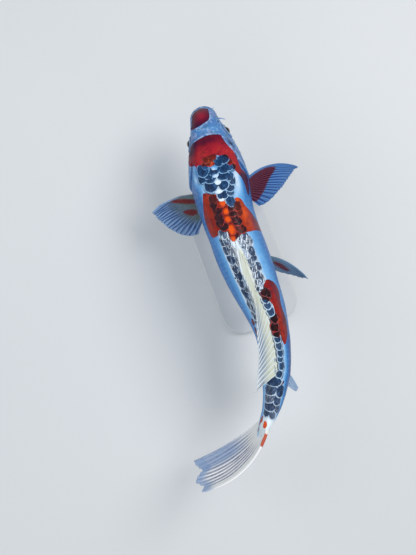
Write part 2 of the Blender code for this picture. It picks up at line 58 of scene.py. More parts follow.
# s, half width, top, bottom, height of the widest line, roundness of top and bottom
STATIONS = ((0, 0.0, -8.0, -8.0, -8.0, 2.0, 2.0),
            (1, 6.0, -3.4, -12.6, -8.0, 2.0, 2.0),
            (4, 11.6, 3.0, -16.6, -8.2, 2.1, 2.1),
            (9, 16.2, 10.5, -20.2, -8.0, 2.2, 2.1),
            (16, 19.2, 17.8, -23.8, -7.6, 2.3, 2.1),
            (25, 21.9, 24.4, -27.6, -6.6, 2.35, 2.05),
            (36, 25.4, 30.2, -31.6, -5.4, 2.4, 2.0),
            (49, 29.8, 35.8, -36.0, -4.4, 2.45, 1.95),
            (64, 34.6, 41.4, -40.4, -3.6, 2.45, 1.95),
            (81, 39.0, 46.8, -45.0, -3.2, 2.4, 1.95),
            (100, 41.6, 52.0, -49.6, -3.0, 2.35, 1.95),
            (118, 42.0, 56.2, -53.4, -2.6, 2.3, 2.0),
            (140, 40.4, 60.6, -57.4, -2.0, 2.25, 2.05),
            (165, 38.6, 64.6, -60.8, -1.0, 2.2, 2.1),
            (190, 37.8, 67.2, -63.0, 0.0, 2.15, 2.15),
            (220, 38.0, 68.2, -64.2, 0.6, 2.15, 2.15),
            (250, 36.8, 66.8, -63.2, 1.0, 2.15, 2.1),
            (280, 33.6, 62.8, -60.2, 1.0, 2.15, 2.1),
            (310, 29.6, 56.4, -54.8, 0.8, 2.1, 2.05),
            (340, 25.4, 48.8, -47.8, 0.6, 2.1, 2.0),
            (370, 22.8, 41.4, -40.8, 0.4, 2.1, 2.0),
            (400, 20.8, 35.2, -35.0, 0.2, 2.1, 2.0),
            (430, 16.8, 30.6, -30.6, 0.0, 2.05, 2.0),
            (460, 12.0, 28.2, -28.2, 0.0, 2.0, 2.0),
            (480, 8.4, 28.0, -28.0, 0.0, 2.0, 2.0),
            (494, 4.6, 27.6, -27.6, 0.0, 2.0, 2.0),
            (502, 1.6, 26.6, -26.6, 0.0, 2.0, 2.0))


def smooth_table(xs, ys):
    """A monotone cubic through the points, as a function of arrays."""
    xs, ys = np.asarray(xs, float), np.asarray(ys, float)
    h, d = np.diff(xs), np.diff(ys) / np.diff(xs)
    m = np.zeros(len(xs))
    for i in range(1, len(xs) - 1):
        if d[i - 1] * d[i] > 0:
            w1, w2 = 2 * h[i] + h[i - 1], h[i] + 2 * h[i - 1]
            m[i] = (w1 + w2) / (w1 / d[i - 1] + w2 / d[i])
    m[0], m[-1] = d[0], d[-1]

    def f(x):
        x = np.asarray(x, float)
        i = np.clip(np.searchsorted(xs, x, side="right") - 1, 0, len(xs) - 2)
        t = (x - xs[i]) / h[i]
        t = np.where(x < xs[0], 0.0, np.where(x > xs[-1], 1.0, t))
        t2, t3 = t * t, t * t * t
        return ((2 * t3 - 3 * t2 + 1) * ys[i] + (t3 - 2 * t2 + t) * h[i] * m[i]
                + (3 * t2 - 2 * t3) * ys[i + 1] + (t3 - t2) * h[i] * m[i + 1])
    return f


HEADING = smooth_table([b[0] for b in BEND], [b[1] for b in BEND])
LEAN = smooth_table([b[0] for b in ROLL], [b[1] for b in ROLL])
UP = np.array([0.0, 0.0, 1.0])
_ROOT_S = [math.sqrt(r[0]) for r in STATIONS]
_COLUMNS = [smooth_table(_ROOT_S, [r[k] for r in STATIONS]) for k in range(1, 7)]
_FINE = np.linspace(0.0, 560.0, 5601)
_ANGLE = np.radians(HEADING(_FINE))
_STEP = _FINE[1] - _FINE[0]
_X = SNOUT_XY[0] + np.concatenate([[0], np.cumsum((np.sin(_ANGLE)[1:] + np.sin(_ANGLE)[:-1]) / 2 * _STEP)])
_Y = SNOUT_XY[1] - np.concatenate([[0], np.cumsum((np.cos(_ANGLE)[1:] + np.cos(_ANGLE)[:-1]) / 2 * _STEP)])


def spine(s):
    """Points on the spine, and the unit vectors back along it, to the fish's right and up through its back."""
    s = np.asarray(s, float)
    a, r = np.radians(HEADING(s)), np.radians(LEAN(s))[..., None]
    p = np.stack([np.interp(s, _FINE, _X), np.interp(s, _FINE, _Y), np.full(s.shape, AXIS_HEIGHT)], -1)
    zero = np.zeros(s.shape)
    back = np.stack([np.sin(a), -np.cos(a), zero], -1)
    level = np.stack([np.cos(a), np.sin(a), zero], -1)
    return p, back, level * np.cos(r) + UP * np.sin(r), UP * np.cos(r) - level * np.sin(r)


def section(s, angle, grow=0.0):
    """(to the right, up) of the skin at s and at an angle from the back towards the fish's right."""
    root = np.sqrt(np.maximum(np.asarray(s, float), 0.0))
    w, top, bottom, mid, n_top, n_low = [c(root) for c in _COLUMNS]
    c, k = np.cos(angle), np.sin(angle)
    power = 2.0 / np.where(c >= 0, n_top, n_low)
    high = np.where(c >= 0, top - mid, mid - bottom) + grow
    side = (w + grow) * np.sign(k) * np.abs(k) ** power
    return side, mid + high * np.sign(c) * np.abs(c) ** power


def skin(s, angle, grow=0.0):
    """Points of the body's surface, in millimetres."""
    s, angle = np.broadcast_arrays(np.asarray(s, float), np.asarray(angle, float))
    p, _, right, upward = spine(s)
    side, up = section(s, angle, grow)
    return p + right * side[..., None] + upward * up[..., None]


def side_at(s, height):
    """Half width of the body at a height over the spine."""
    w, top, bottom, mid, n_top, n_low = [float(c(math.sqrt(s))) for c in _COLUMNS]
    n, h = (n_top, top - mid) if height > mid else (n_low, mid - bottom)
    return w * max(0.0, 1 - abs((height - mid) / h) ** n) ** (1 / n)


def at(s, side, up):
    """The point at s along the spine, so far to the fish's right and so far up, in millimetres."""
    s, side, up = np.broadcast_arrays(np.asarray(s, float), np.asarray(side, float), np.asarray(up, float))
    p, _, right, upward = spine(s)
    return p + right * side[..., None] + upward * up[..., None]


def rays(u, v, root, first, bend_towards, length, bend):
    """Fin rays as arcs: root and first (unit) per ray, bending by bend radians towards the third vector."""
    u, v = np.asarray(u, float), np.asarray(v, float)
    a = np.maximum(np.abs(bend), 1e-4)
    s = v[None, :] * a[:, None]
    e = bend_towards - np.sum(bend_towards * first, -1, keepdims=True) * first
    e = e / np.linalg.norm(e, axis=-1, keepdims=True) * np.sign(bend + 1e-9)[:, None]
    r = (length / a)[:, None]
    return (root[:, None, :] + (r * np.sin(s))[..., None] * first[:, None, :]
            + (r * (1 - np.cos(s)))[..., None] * e[:, None, :])


def unit(x):
    return x / np.linalg.norm(x, axis=-1, keepdims=True)


# Paired fins: s of the root's front and back, height of both, the rays' heading at five
# places across the fan (degrees back from straight out), their length, how much
# each bends back, and how far it slopes down. side is +1 for the fish's right.
PAIRED = {
    "pectoral_fin_left": dict(side=-1, s=(122, 136), up=(-22, -34), inset=5.0, heading=(-18, 0, 20, 41, 66),
                              length=(80, 74, 68, 61, 46), bend=(50, 34, 20, 10, 4), down=(6, 9, 12, 15, 18)),
    "pectoral_fin_right": dict(side=1, s=(119, 134), up=(-22, -34), inset=5.0, heading=(-41, -29, -13, 6, 46),
                               length=(93, 82, 68, 53, 32), bend=(74, 50, 32, 16, 6), down=(3, 5, 8, 12, 16)),
    "pelvic_fin_left": dict(side=-1, s=(232, 244), up=(-58, -58), inset=5.0, heading=(80, 82, 84, 86, 88),
                            length=(80, 78, 73, 64, 48), bend=(12, 10, 8, 5, 3), down=(9, 14, 19, 25, 31)),
    "pelvic_fin_right": dict(side=1, s=(230, 243), up=(-58, -58), inset=5.0, heading=(15, 22, 27, 31, 36),
                             length=(98, 96, 89, 76, 56), bend=(60, 42, 28, 16, 6), down=(5, 10, 16, 23, 30)),
}
FAN = np.linspace(0.0, 1.0, 5)


def paired_fin(name, u, v):
    f = PAIRED[name]
    u = np.asarray(u, float)
    get = lambda key: smooth_table(FAN, f[key])(u)
    s = np.interp(u, [0, 1], f["s"])
    up = np.interp(u, [0, 1], f["up"])
    out = np.array([side_at(a, b) for a, b in zip(s, up)]) - f["inset"]
    p, back, right, upward = spine(s)
    root = p + right * f["side"] * out[:, None] + upward * up[:, None]
    out_dir = unit(right * [1.0, 1.0, 0.0]) * f["side"]
    h, d = np.radians(get("heading"))[:, None], np.radians(get("down"))[:, None]
    first = (out_dir * np.cos(h) + back * np.sin(h)) * np.cos(d) - UP * np.sin(d)
    aft = (back * np.cos(h) - out_dir * np.sin(h)) - 0.12 * UP
    return rays(u, v, root, unit(first), aft, get("length"), np.radians(get("bend")))


# Dorsal fin: folded back and leaning to the fish's left.
DORSAL = dict(s=(196, 398), sink=4.0, tilt=(25, 25, 30, 38, 48), lean=(26, 40, 50, 59, 66),
              length=(58, 52, 46, 44, 44), bend=(4, 6, 9, 12, 10))


def dorsal_fin(u, v):
    f = DORSAL
    u = np.asarray(u, float)
    get = lambda key: smooth_table(FAN, f[key])(u)
    s = np.interp(u, [0, 1], f["s"])
    p, back, right, upward = spine(s)
    top = _COLUMNS[1](np.sqrt(s)) - f["sink"]
    root = p + upward * top[:, None]
    t, l = np.radians(get("tilt"))[:, None], np.radians(get("lean"))[:, None]
    up_left = upward * np.cos(l) - right * np.sin(l)
    first = back * np.cos(t) + up_left * np.sin(t)
    over = back * 0.5 - right * 0.6 - UP * 0.6
    return rays(u, v, root, unit(first), over, get("length"), np.radians(get("bend")))


# Anal fin: swept back and leaning to the fish's right.
ANAL = dict(s=(383, 413), sink=4.0, tilt=(46, 43, 39, 34, 28), lean=(52, 52, 51, 50, 48),
            length=(67, 63, 54, 44, 34), bend=(14, 10, 7, 4, 2))


def anal_fin(u, v):
    f = ANAL
    u = np.asarray(u, float)
    get = lambda key: smooth_table(FAN, f[key])(u)
    s = np.interp(u, [0, 1], f["s"])
    p, back, right, upward = spine(s)
    low = _COLUMNS[2](np.sqrt(s)) + f["sink"]
    root = p + upward * low[:, None]
    t, l = np.radians(get("tilt"))[:, None], np.radians(get("lean"))[:, None]
    first = back * np.cos(t) + (-UP * np.cos(l) + right * np.sin(l)) * np.sin(t)
    return rays(u, v, root, unit(first), back, get("length"), np.radians(get("bend")))


# Tail fin: two lobes that grow from the wedge at the end of the body, rolled
# so that the upper lobe leans to the fish's right, and swept to its left.
TAIL_ROOT = 484.0
# share of the half height at the root, ray's rise, length, sweep; from the middle ray out to the lobe's edge
LOBES = {
    "tail_fin_upper": dict(way=1, roll=16.0, rise=(0, 8, 16, 25, 33), length=(104, 108, 115, 124, 132), bend=(43, 46, 49, 52, 54)),
    "tail_fin_lower": dict(way=-1, roll=31.0, rise=(0, 8, 16, 25, 33), length=(104, 109, 118, 129, 140), bend=(43, 37, 30, 23, 17)),
}


def tail_lobe(name, u, v):
    f = LOBES[name]
    u = np.asarray(u, float)
    get = lambda key: smooth_table(FAN, f[key])(u)
    p, back, right, upward = spine(np.full(u.shape, TAIL_ROOT))
    roll = math.radians(f["roll"])
    right = unit(right * [1.0, 1.0, 0.0])
    share = 0.4 + 24.0 * u
    root = p + upward * (share * f["way"])[:, None] + back * (-6.0 * u ** 2)[:, None]
    rise = np.radians(get("rise"))[:, None] * f["way"]
    fan_up = UP * math.cos(roll) + right * math.sin(roll)
    first = back * np.cos(rise) + fan_up * np.sin(rise)
    return rays(u, v, root, unit(first), -right, get("length"), np.radians(get("bend")))


# Eyes: s, height and radius of the ball, and how far its middle lies inside the skin.
EYE = dict(s={1: 46.0, -1: 49.5}, up=6.0, radius=8.2, depth=3.6)


def eye_centre(side):
    s = EYE["s"][side]
    return at(s, side * (side_at(s, EYE["up"]) - EYE["depth"]), EYE["up"])


# ---------------------------------------------------------------- small tools
def srgb(r, g, b):
    f = lambda v: v / 12.92 if v <= 0.04045 else ((v + 0.055) / 1.055) ** 2.4
    return (f(r / 255), f(g / 255), f(b / 255), 1.0)


def smoothstep(lo, hi, x):
    t = np.clip((x - lo) / (hi - lo), 0.0, 1.0)
    return t * t * (3 - 2 * t)


def bell(x, width):
    return np.exp(-(x / width) ** 2)


def hashed(i, j, k, seed):
    n = (i * 374761393 + j * 668265263 + k * 2147483647 + seed * 1274126177) & 0xFFFFFFFF
    n = ((n ^ (n >> 13)) * 1274126177) & 0xFFFFFFFF
    n = ((n ^ (n >> 15)) * 2246822519) & 0xFFFFFFFF
    return (n ^ (n >> 16)) / 4294967295.0


def value_noise(p, scale, seed=0):
    """Smooth noise from -1 to 1 at points (millimetres), with lumps of about scale."""
    q = np.asarray(p, float) / scale
    b = np.floor(q).astype(np.int64)
    t = q - b
    t = t * t * (3 - 2 * t)
    total = 0.0
    for dx in (0, 1):
        for dy in (0, 1):
            for dz in (0, 1):
                w = (np.where(dx, t[..., 0], 1 - t[..., 0]) * np.where(dy, t[..., 1], 1 - t[..., 1])
                     * np.where(dz, t[..., 2], 1 - t[..., 2]))
                total = total + w * hashed(b[..., 0] + dx, b[..., 1] + dy, b[..., 2] + dz, seed)
    return 2 * total - 1


def rounded(outline, times=3):
    """A closed outline with its corners cut off and cut off again."""
    q = np.asarray(outline, float)
    for _ in range(times):
        n = np.roll(q, -1, axis=0)
        q = np.stack([0.75 * q + 0.25 * n, 0.25 * q + 0.75 * n], 1).reshape(-1, 2)
    return q


def line_distance(x, y, path, closed=False):
    """Distance of points from a path, and for a closed one its sign, positive inside."""
    path = np.asarray(path, float)
    ends = np.roll(path, -1, axis=0) if closed else path[1:]
    starts = path if closed else path[:-1]
    best = np.full(np.shape(x), 1e9)
    inside = np.zeros(np.shape(x), bool)
    for (ax, ay), (bx, by) in zip(starts, ends):
        dx, dy = bx - ax, by - ay
        t = np.clip(((x - ax) * dx + (y - ay) * dy) / max(dx * dx + dy * dy, 1e-9), 0, 1)
        best = np.minimum(best, (x - ax - t * dx) ** 2 + (y - ay - t * dy) ** 2)
        if closed:
            cross = ((ay > y) != (by > y))
            with np.errstate(divide="ignore", invalid="ignore"):
                inside ^= cross & (x < (bx - ax) * (y - ay) / (by - ay + 1e-12) + ax)
    d = np.sqrt(best)
    return np.where(inside, d, -d) if closed else d


def add_mesh(name, points, faces, uv, attributes, material, smooth=True):
    """A piece from points (millimetres), faces and a UV per face corner."""
    mesh = bpy.data.meshes.new(name)
    mesh.from_pydata((np.asarray(points) * 0.001).tolist(), [], [tuple(int(i) for i in f) for f in faces])
    layer = mesh.uv_layers.new(name="OFBake")
    layer.data.foreach_set("uv", np.asarray(uv, np.float32).reshape(-1))
    for key, values in attributes.items():
        a = mesh.attributes.new(key, "FLOAT", "POINT")
        a.data.foreach_set("value", np.asarray(values, np.float32).reshape(-1))
    mesh.validate()
    mesh.update()
    if smooth:
        mesh.shade_smooth()
    mesh.materials.append(material)
    o = bpy.data.objects.new(name, mesh)
    bpy.context.scene.collection.objects.link(o)
    return o


# ---------------------------------------------------------------- the chart of the skin
# A place on the skin is (s, c): s along the spine, and c the distance round
# the section from the ridge of the back, positive to the fish's right.
_CHART_S = np.concatenate([np.linspace(0.1, 5.0, 50) ** 2, np.arange(26.0, 503.0, 1.0)])
_CHART_A = np.radians(np.linspace(0.0, 180.0, 181))
_ring = skin(_CHART_S[:, None], _CHART_A[None, :])
_CHART_C = np.concatenate([np.zeros((len(_CHART_S), 1)),
                           np.cumsum(np.linalg.norm(np.diff(_ring, axis=1), axis=-1), axis=1)], axis=1)


def chart_row(s):
    """Row of the chart's table for s, between its rows."""
    i = np.interp(s, _CHART_S, np.arange(len(_CHART_S)))
    lo = np.clip(np.floor(i).astype(int), 0, len(_CHART_S) - 2)
    return lo, i - lo


def round_distance(s, angle):
    """c for an angle, which is taken from -180 to 180 degrees."""
    s, angle = np.broadcast_arrays(np.asarray(s, float), np.asarray(angle, float))
    lo, t = chart_row(s)
    a = np.abs(angle) / math.pi * 180.0
    j = np.clip(np.floor(a).astype(int), 0, 179)
    f = a - j
    row = lambda k: _CHART_C[k, j] * (1 - f) + _CHART_C[k, j + 1] * f
    return np.sign(angle) * (row(lo) * (1 - t) + row(lo + 1) * t)


def angle_at(s, c):
    """The angle for a place in the chart."""
    s, c = np.broadcast_arrays(np.asarray(s, float), np.asarray(c, float))
    lo, t = chart_row(s)
    out = np.zeros(s.shape)
    flat_s, flat_c, flat_lo, flat_t = s.ravel(), np.abs(c).ravel(), lo.ravel(), t.ravel()
    angles = np.zeros(flat_s.shape)
    for k in range(len(flat_s)):
        row = _CHART_C[flat_lo[k]] * (1 - flat_t[k]) + _CHART_C[flat_lo[k] + 1] * flat_t[k]
        angles[k] = np.interp(flat_c[k], row, _CHART_A)
    out = angles.reshape(s.shape)
    return np.sign(c) * out


# ---------------------------------------------------------------- markings
# Red patches as outlines in the chart.
RED = {
    "nose": ((1.8, -1.5), (4.0, 5.2), (6.4, 11.4), (8.0, 12.6), (10, 12), (16.5, 11.8), (23.8, 10), (28, 6.0), (31, -5.7),
             (32.6, -14.6), (32.4, -25), (24, -24.5), (15.5, -20), (9.0, -16.5), (4.6, -9.5)),
    "head": ((48, 0), (49.5, 8), (51.5, 16), (54, 19.5), (59.5, 20.5), (65, 23.6), (71.5, 28), (77, 33.3), (83, 37.8), (89, 40), (100, 40.5), (106, 44), (109, 53),
             (114, 61), (125, 64), (137, 63), (144, 57), (146, 52), (141, 48.5), (132, 46), (124, 43), (117, 38.5),
             (110, 31.5), (104, 26.5), (99, 23), (89, 18), (83, 10), (79, 5), (88, 2.5), (97, -2), (93, -10), (91, -17),
             (98, -24), (96, -28), (86, -29), (87, -39), (80, -51), (70, -54), (61, -49), (56, -38), (53.5, -26.3),
             (51, -16.9), (49, -8)),
    "saddle": ((127, -26), (133, -13), (139, -4), (147, 0), (152, 6), (156, 12), (149, 15), (145, 20), (147, 27),
               (153, 32), (161, 36), (170, 46), (178, 56), (185, 70), (190, 86), (197, 92), (202, 80), (201, 60),
               (198, 40), (198, 27), (196, 14), (198, 6), (204, -2), (199, -6), (189, -7), (182, -10), (184, -19),
               (189, -22), (188, -41), (180, -43.5), (171, -44), (161, -42), (153, -38), (137, -30)),
    "rear": ((267, 21), (271, 30), (276, 38), (283, 42.5), (292, 45), (300, 40), (307, 36), (315, 36), (323, 38.5),
             (332, 40), (340, 38), (348, 33.5), (357, 25), (363, 18), (352, 14), (347, 10), (341, 2.5), (331, 2),
             (324, 3), (318, 11), (311, 16), (301, 15), (294, 10), (290, 3.5), (284, 4), (278, 9)),
    "streak_one": ((311.5, -29), (313, -23.5), (319, -24), (324.5, -27), (324.5, -34), (318, -33)),
    "streak_two": ((325.5, -32), (327, -27), (334, -26.8), (344, -28), (351, -31), (350, -34.5), (341, -34.5), (333, -34.5)),
    "fleck_right": ((410, 14), (414, 9), (419, 7.5), (417, 12), (412, 17)),
    "fleck_left": ((466, -19), (472, -16), (476, -15.5), (480, -23), (489, -31), (482, -31), (474, -27)),
    "fleck_root": ((486, -25), (494, -27), (496, -33), (488, -33)),
    "spot_root": ((471.5, -5.5), (473, -10.4), (478, -11.4), (482.5, -9.8), (483, -5.5), (480.5, -2.4), (474.5, -1.6)),
}
# warm orange centres: s, c, reach along, reach across, strength
WARM = ((148, 0, 6, 4.5, 1.0), (161, 1, 5, 4, 1.0), (172, 0, 5, 4, 1.0), (187, 0, 8, 5, 1.0), (200, -2, 5, 4, 0.8),
        (172, 28, 15, 10, 0.62), (149, 21, 6, 6, 0.6), (183, 33, 10, 8, 0.40), (165, -30, 24, 7, 0.30), (140, -24, 10, 8, 0.3),
        (296, 13, 7, 4, 0.5), (326, 20, 8, 5, 0.35), (346, 17, 7, 5, 0.35), (90, -4, 8, 5, 0.55), (98, 30, 9, 5, 0.35),
        (476, -6, 9, 8, 0.9), (84, -18, 12, 9, 0.25))
DOTS = ((250.0, -22.0, 1.5), (274.0, -27.0, 0.9), (229.0, 34.0, 0.8))
RED_OUTLINES = {k: rounded(v, 2) for k, v in RED.items()}


def markings(s, c):
    """Signed distance into the red (positive inside), warmth of it, and black dots, at places in the chart."""
    red = np.full(np.shape(s), -60.0)
    for outline in RED_OUTLINES.values():
        lo, hi = outline.min(0) - 12, outline.max(0) + 12
        near = (s > lo[0]) & (s < hi[0]) & (c > lo[1]) & (c < hi[1])
        if near.any():
            red[near] = np.maximum(red[near], line_distance(s[near], c[near], outline, closed=True))
    warm = np.zeros(np.shape(s))
    for ws, wc, along, across, strength in WARM:
        warm = np.maximum(warm, strength * np.exp(-((s - ws) / along) ** 2 - ((c - wc) / across) ** 2))
    dot = np.full(np.shape(s), -60.0)
    for ds, dc, r in DOTS:
        dot = np.maximum(dot, r - np.hypot(s - ds, c - dc))
    return np.clip(red, -12, 30), warm, np.clip(dot, -3, 3)


# ---------------------------------------------------------------- relief of the skin
# Paths on each side of the head, as (s, height over the spine): name, path, depth, width
FOLDS = (
    ("maxilla", ((13, 5), (18.5, 0), (21.5, -8), (20.0, -15.5)), 0.9, 1.0),
    ("snout", ((9, 9), (16, 8), (22, 3)), 0.4, 1.3),
    ("below_eye", ((37, -8), (43, -13), (52, -14.5), (60, -11), (65, -3), (64, 8)), 0.55, 1.3),
    ("cheek", ((66, 22), (71, 14), (74.5, 2), (74, -11), (68, -22), (57, -30), (44, -33)), 1.1, 1.3),
    ("gill_lower", ((79, -26), (92, -21), (106, -17), (114, -14)), 0.55, 1.1),
    ("gill_rise", ((78, 24), (86, 27), (95, 27)), 0.5, 1.3),
    ("jaw", ((19, -19), (30, -25), (42, -30)), 0.7, 1.1),
)
GILL_EDGE = ((80, 30), (90, 31), (99, 27.5), (107, 20), (113, 10), (116.5, -1), (117, -13), (113.5, -25),
             (104, -36), (90, -43), (74, -45.5), (60, -43), (58, -30), (60, 0), (66, 22))
GILL_OUTLINE = rounded(GILL_EDGE, 2)
LATERAL = smooth_table((104, 130, 180, 260, 360, 480), (12.0, 8.0, 4.0, 1.5, 0.5, 0.0))
MOUTH_LINE = smooth_table((0, 4, 9, 14, 19), (-10.4, -10.8, -11.9, -13.6, -15.8))
NOSTRILS = ((27.2, 24.6, 1.35), (31.6, 23.4, 1.55))


def relief(s, angle, side, up, c, p):
    """How far the skin stands out of the plain body, in millimetres, at these places."""
    d = np.zeros(np.shape(s))
    # mouth: a slit between two rolled lips, a furrow behind each lip
    m = up - MOUTH_LINE(s)
    past = np.maximum(0.0, s - 16.5)
    slit = np.hypot(m, past * 0.8)
    front = smoothstep(21.0, 15.0, s)
    d -= 3.4 * bell(slit, 0.85)
    d += 1.7 * bell(m - 2.7, 1.7) * front + 1.5 * bell(m + 2.6, 1.7) * front
    d -= 1.1 * bell(m - 6.3, 1.1) * smoothstep(24.0, 12.0, s) + 0.9 * bell(m + 6.2, 1.2) * smoothstep(20.0, 10.0, s)
    # folds and plates of the head, the same on both sides
    lateral = smoothstep(0.30, 0.55, np.abs(np.sin(angle)))
    head = s < 135
    if np.any(head):
        hs, hu = s[head], up[head]
        add = np.zeros(hs.shape)
        for _, path, depth, width in FOLDS:
            q = np.asarray(path, float)
            fade = 1.0
            dist = line_distance(hs, hu, q)
            add -= depth * bell(dist, width) * fade - 0.35 * depth * bell(dist - 2.4 * width, 1.5 * width)
        gill = line_distance(hs, hu, GILL_OUTLINE, closed=True)
        rear = smoothstep(76.0, 92.0, hs)
        step = 0.5 + 0.5 * np.tanh(gill / 0.5)
        add += rear * (step * 2.1 * np.exp(-np.maximum(gill, 0) / 16.0)
                       - (1 - step) * 1.3 * np.exp(-(np.minimum(gill, 0) / 2.6) ** 2))
        add += rear * 0.5 * step * bell(gill - 2.2, 1.0)        # the soft seam along the gill cover's edge
        plate_lines = 0.10 * np.sin((gill + 0.4 * np.sin(hs * 0.21)) * 1.35) * step * rear * smoothstep(2, 8, gill)
        add += plate_lines
        d[head] += add * lateral[head]
    # eye sockets and the ring round each eye
    for sign in (1, -1):
        centre = eye_centre(sign)
        _, _, right, _ = spine(EYE["s"][sign])
        axis = unit(right * sign)
        rel = p - centre
        along = rel @ axis
        rho = np.linalg.norm(rel - along[..., None] * axis, axis=-1)
        here = (np.sign(side) == sign) & (s < 75) & (rho < 22)
        ring = 1.5 * bell(rho - 9.4, 1.5) - 0.55 * bell(rho - 12.0, 1.5) - 4.2 * smoothstep(7.9, 6.2, rho)
        d += np.where(here, ring, 0.0)
    # nostrils: two pits a side, with a flap between
    for i, (ns, nc, r) in enumerate(NOSTRILS):
        dist = np.hypot(s - ns, np.abs(c) - nc)
        d += 0.75 * bell(dist - r - 1.0, 0.75) - 2.0 * bell(dist, r)
    d += 1.0 * bell(np.hypot((s - 29.3) / 0.8, (np.abs(c) - 24.1) / 1.8), 1.0)
    # skull: a faint dip between the eyes and a pair of low ridges over them
    d += -0.7 * bell(c, 9.0) * bell(s - 46.0, 16.0) + 0.8 * bell(np.abs(c) - 22.0, 7.0) * bell(s - 50.0, 16.0)
    # nape and back: muscle to both sides of a shallow groove
    back = smoothstep(84.0, 130.0, s) * smoothstep(215.0, 180.0, s)
    d += back * (0.9 * bell(np.abs(c) - 15.0, 9.0) - 0.8 * bell(c, 4.5))
    # lateral line with its pores
    lat = up - LATERAL(s)
    on = smoothstep(112.0, 122.0, s) * smoothstep(488.0, 470.0, s)
    d -= on * bell(lat, 0.9) * (0.26 + 0.20 * np.cos(2 * math.pi * s / 5.2))
    d += on * 0.12 * bell(np.abs(lat) - 2.0, 1.0)
    # roots of the fins: low fleshy swellings
    foot = smoothstep(194.0, 214.0, s) * smoothstep(412.0, 392.0, s)
    d += (1.4 + 1.5 * bell(s - 262.0, 46.0)) * bell(c + 0.5, 3.6 + 1.6 * bell(s - 262.0, 46.0)) * foot
    d += 0.24 * np.cos(c * 2.3 + 0.02 * s) * bell(c + 0.5, 6.0) * foot
    belly = _HALF_ROUND(s) - np.abs(c)
    d += 1.3 * bell(belly, 4.2) * smoothstep(374.0, 386.0, s) * smoothstep(424.0, 408.0, s)
    for name, f in PAIRED.items():
        here = np.sign(side) == f["side"]
        q = np.array([[f["s"][0] - 3, f["up"][0]], [f["s"][1] + 3, f["up"][1]]], float)
        scale = 3.0 if name.startswith("pelvic") else 1.0
        dist = line_distance(s, up * scale, q * [1, scale])
        size = 2.2 if name.startswith("pectoral") else 1.3
        d += np.where(here, size * bell(dist, 6.5 if scale == 1.0 else 7.0), 0.0)
    # throat: the gill covers' lower edges run forward to meet under the jaw
    throat = (np.cos(angle) < -0.55) & (s < 118)
    path = 4.0 + 15.0 * smoothstep(36.0, 100.0, s)
    d -= np.where(throat, 1.0 * bell(np.abs(side) - path, 1.2) * smoothstep(34.0, 44.0, s) * smoothstep(112.0, 96.0, s), 0.0)
    d -= np.where(throat, 0.6 * bell(side, 1.6) * smoothstep(14.0, 24.0, s) * smoothstep(60.0, 44.0, s), 0.0)
    # the skin lies lower where the scales cover it
    d -= 0.8 * smoothstep(24.0, 17.0, np.abs(c)) * smoothstep(84.0, 98.0, s) * smoothstep(474.0, 458.0, s)
    # vent
    d += 0.9 * bell(np.hypot(s - 371.0, belly), 3.6) - 2.0 * bell(np.hypot((s - 371.5) / 1.3, belly), 1.3)
    # a slight unevenness everywhere
    soft = smoothstep(0.0, 40.0, s)
    d += (0.32 * value_noise(p, 17.0, 3) + 0.13 * value_noise(p, 6.5, 5)) * soft
    return d


_half_round_s = np.linspace(0.5, 502.0, 200)
_half_round = np.array([np.interp(x, _CHART_S, _CHART_C[:, -1]) for x in _half_round_s])


def _HALF_ROUND(s):
    return np.interp(s, _half_round_s, _half_round)


def surface(s, angle, lift=0.0):
    """Finished points of the skin at places away from the grid, lifted by so much."""
    s, angle, lift = np.broadcast_arrays(np.asarray(s, float), np.asarray(angle, float), np.asarray(lift, float))
    p = skin(s, angle)
    side, up = section(s, angle)
    n = unit(np.cross(skin(s, angle + 0.01) - skin(s, angle - 0.01), skin(s + 0.4, angle) - skin(s - 0.4, angle)))
    _, _, right, upward = spine(s)
    outward = right * side[..., None] + upward * (up - 0.0)[..., None]
    n = n * np.sign(np.sum(n * outward, -1, keepdims=True) + 1e-12)
    c = round_distance(s, (angle + math.pi) % (2 * math.pi) - math.pi)
    d = relief(s, angle, side, up, c, p)
    return p + n * (d + lift)[..., None], n


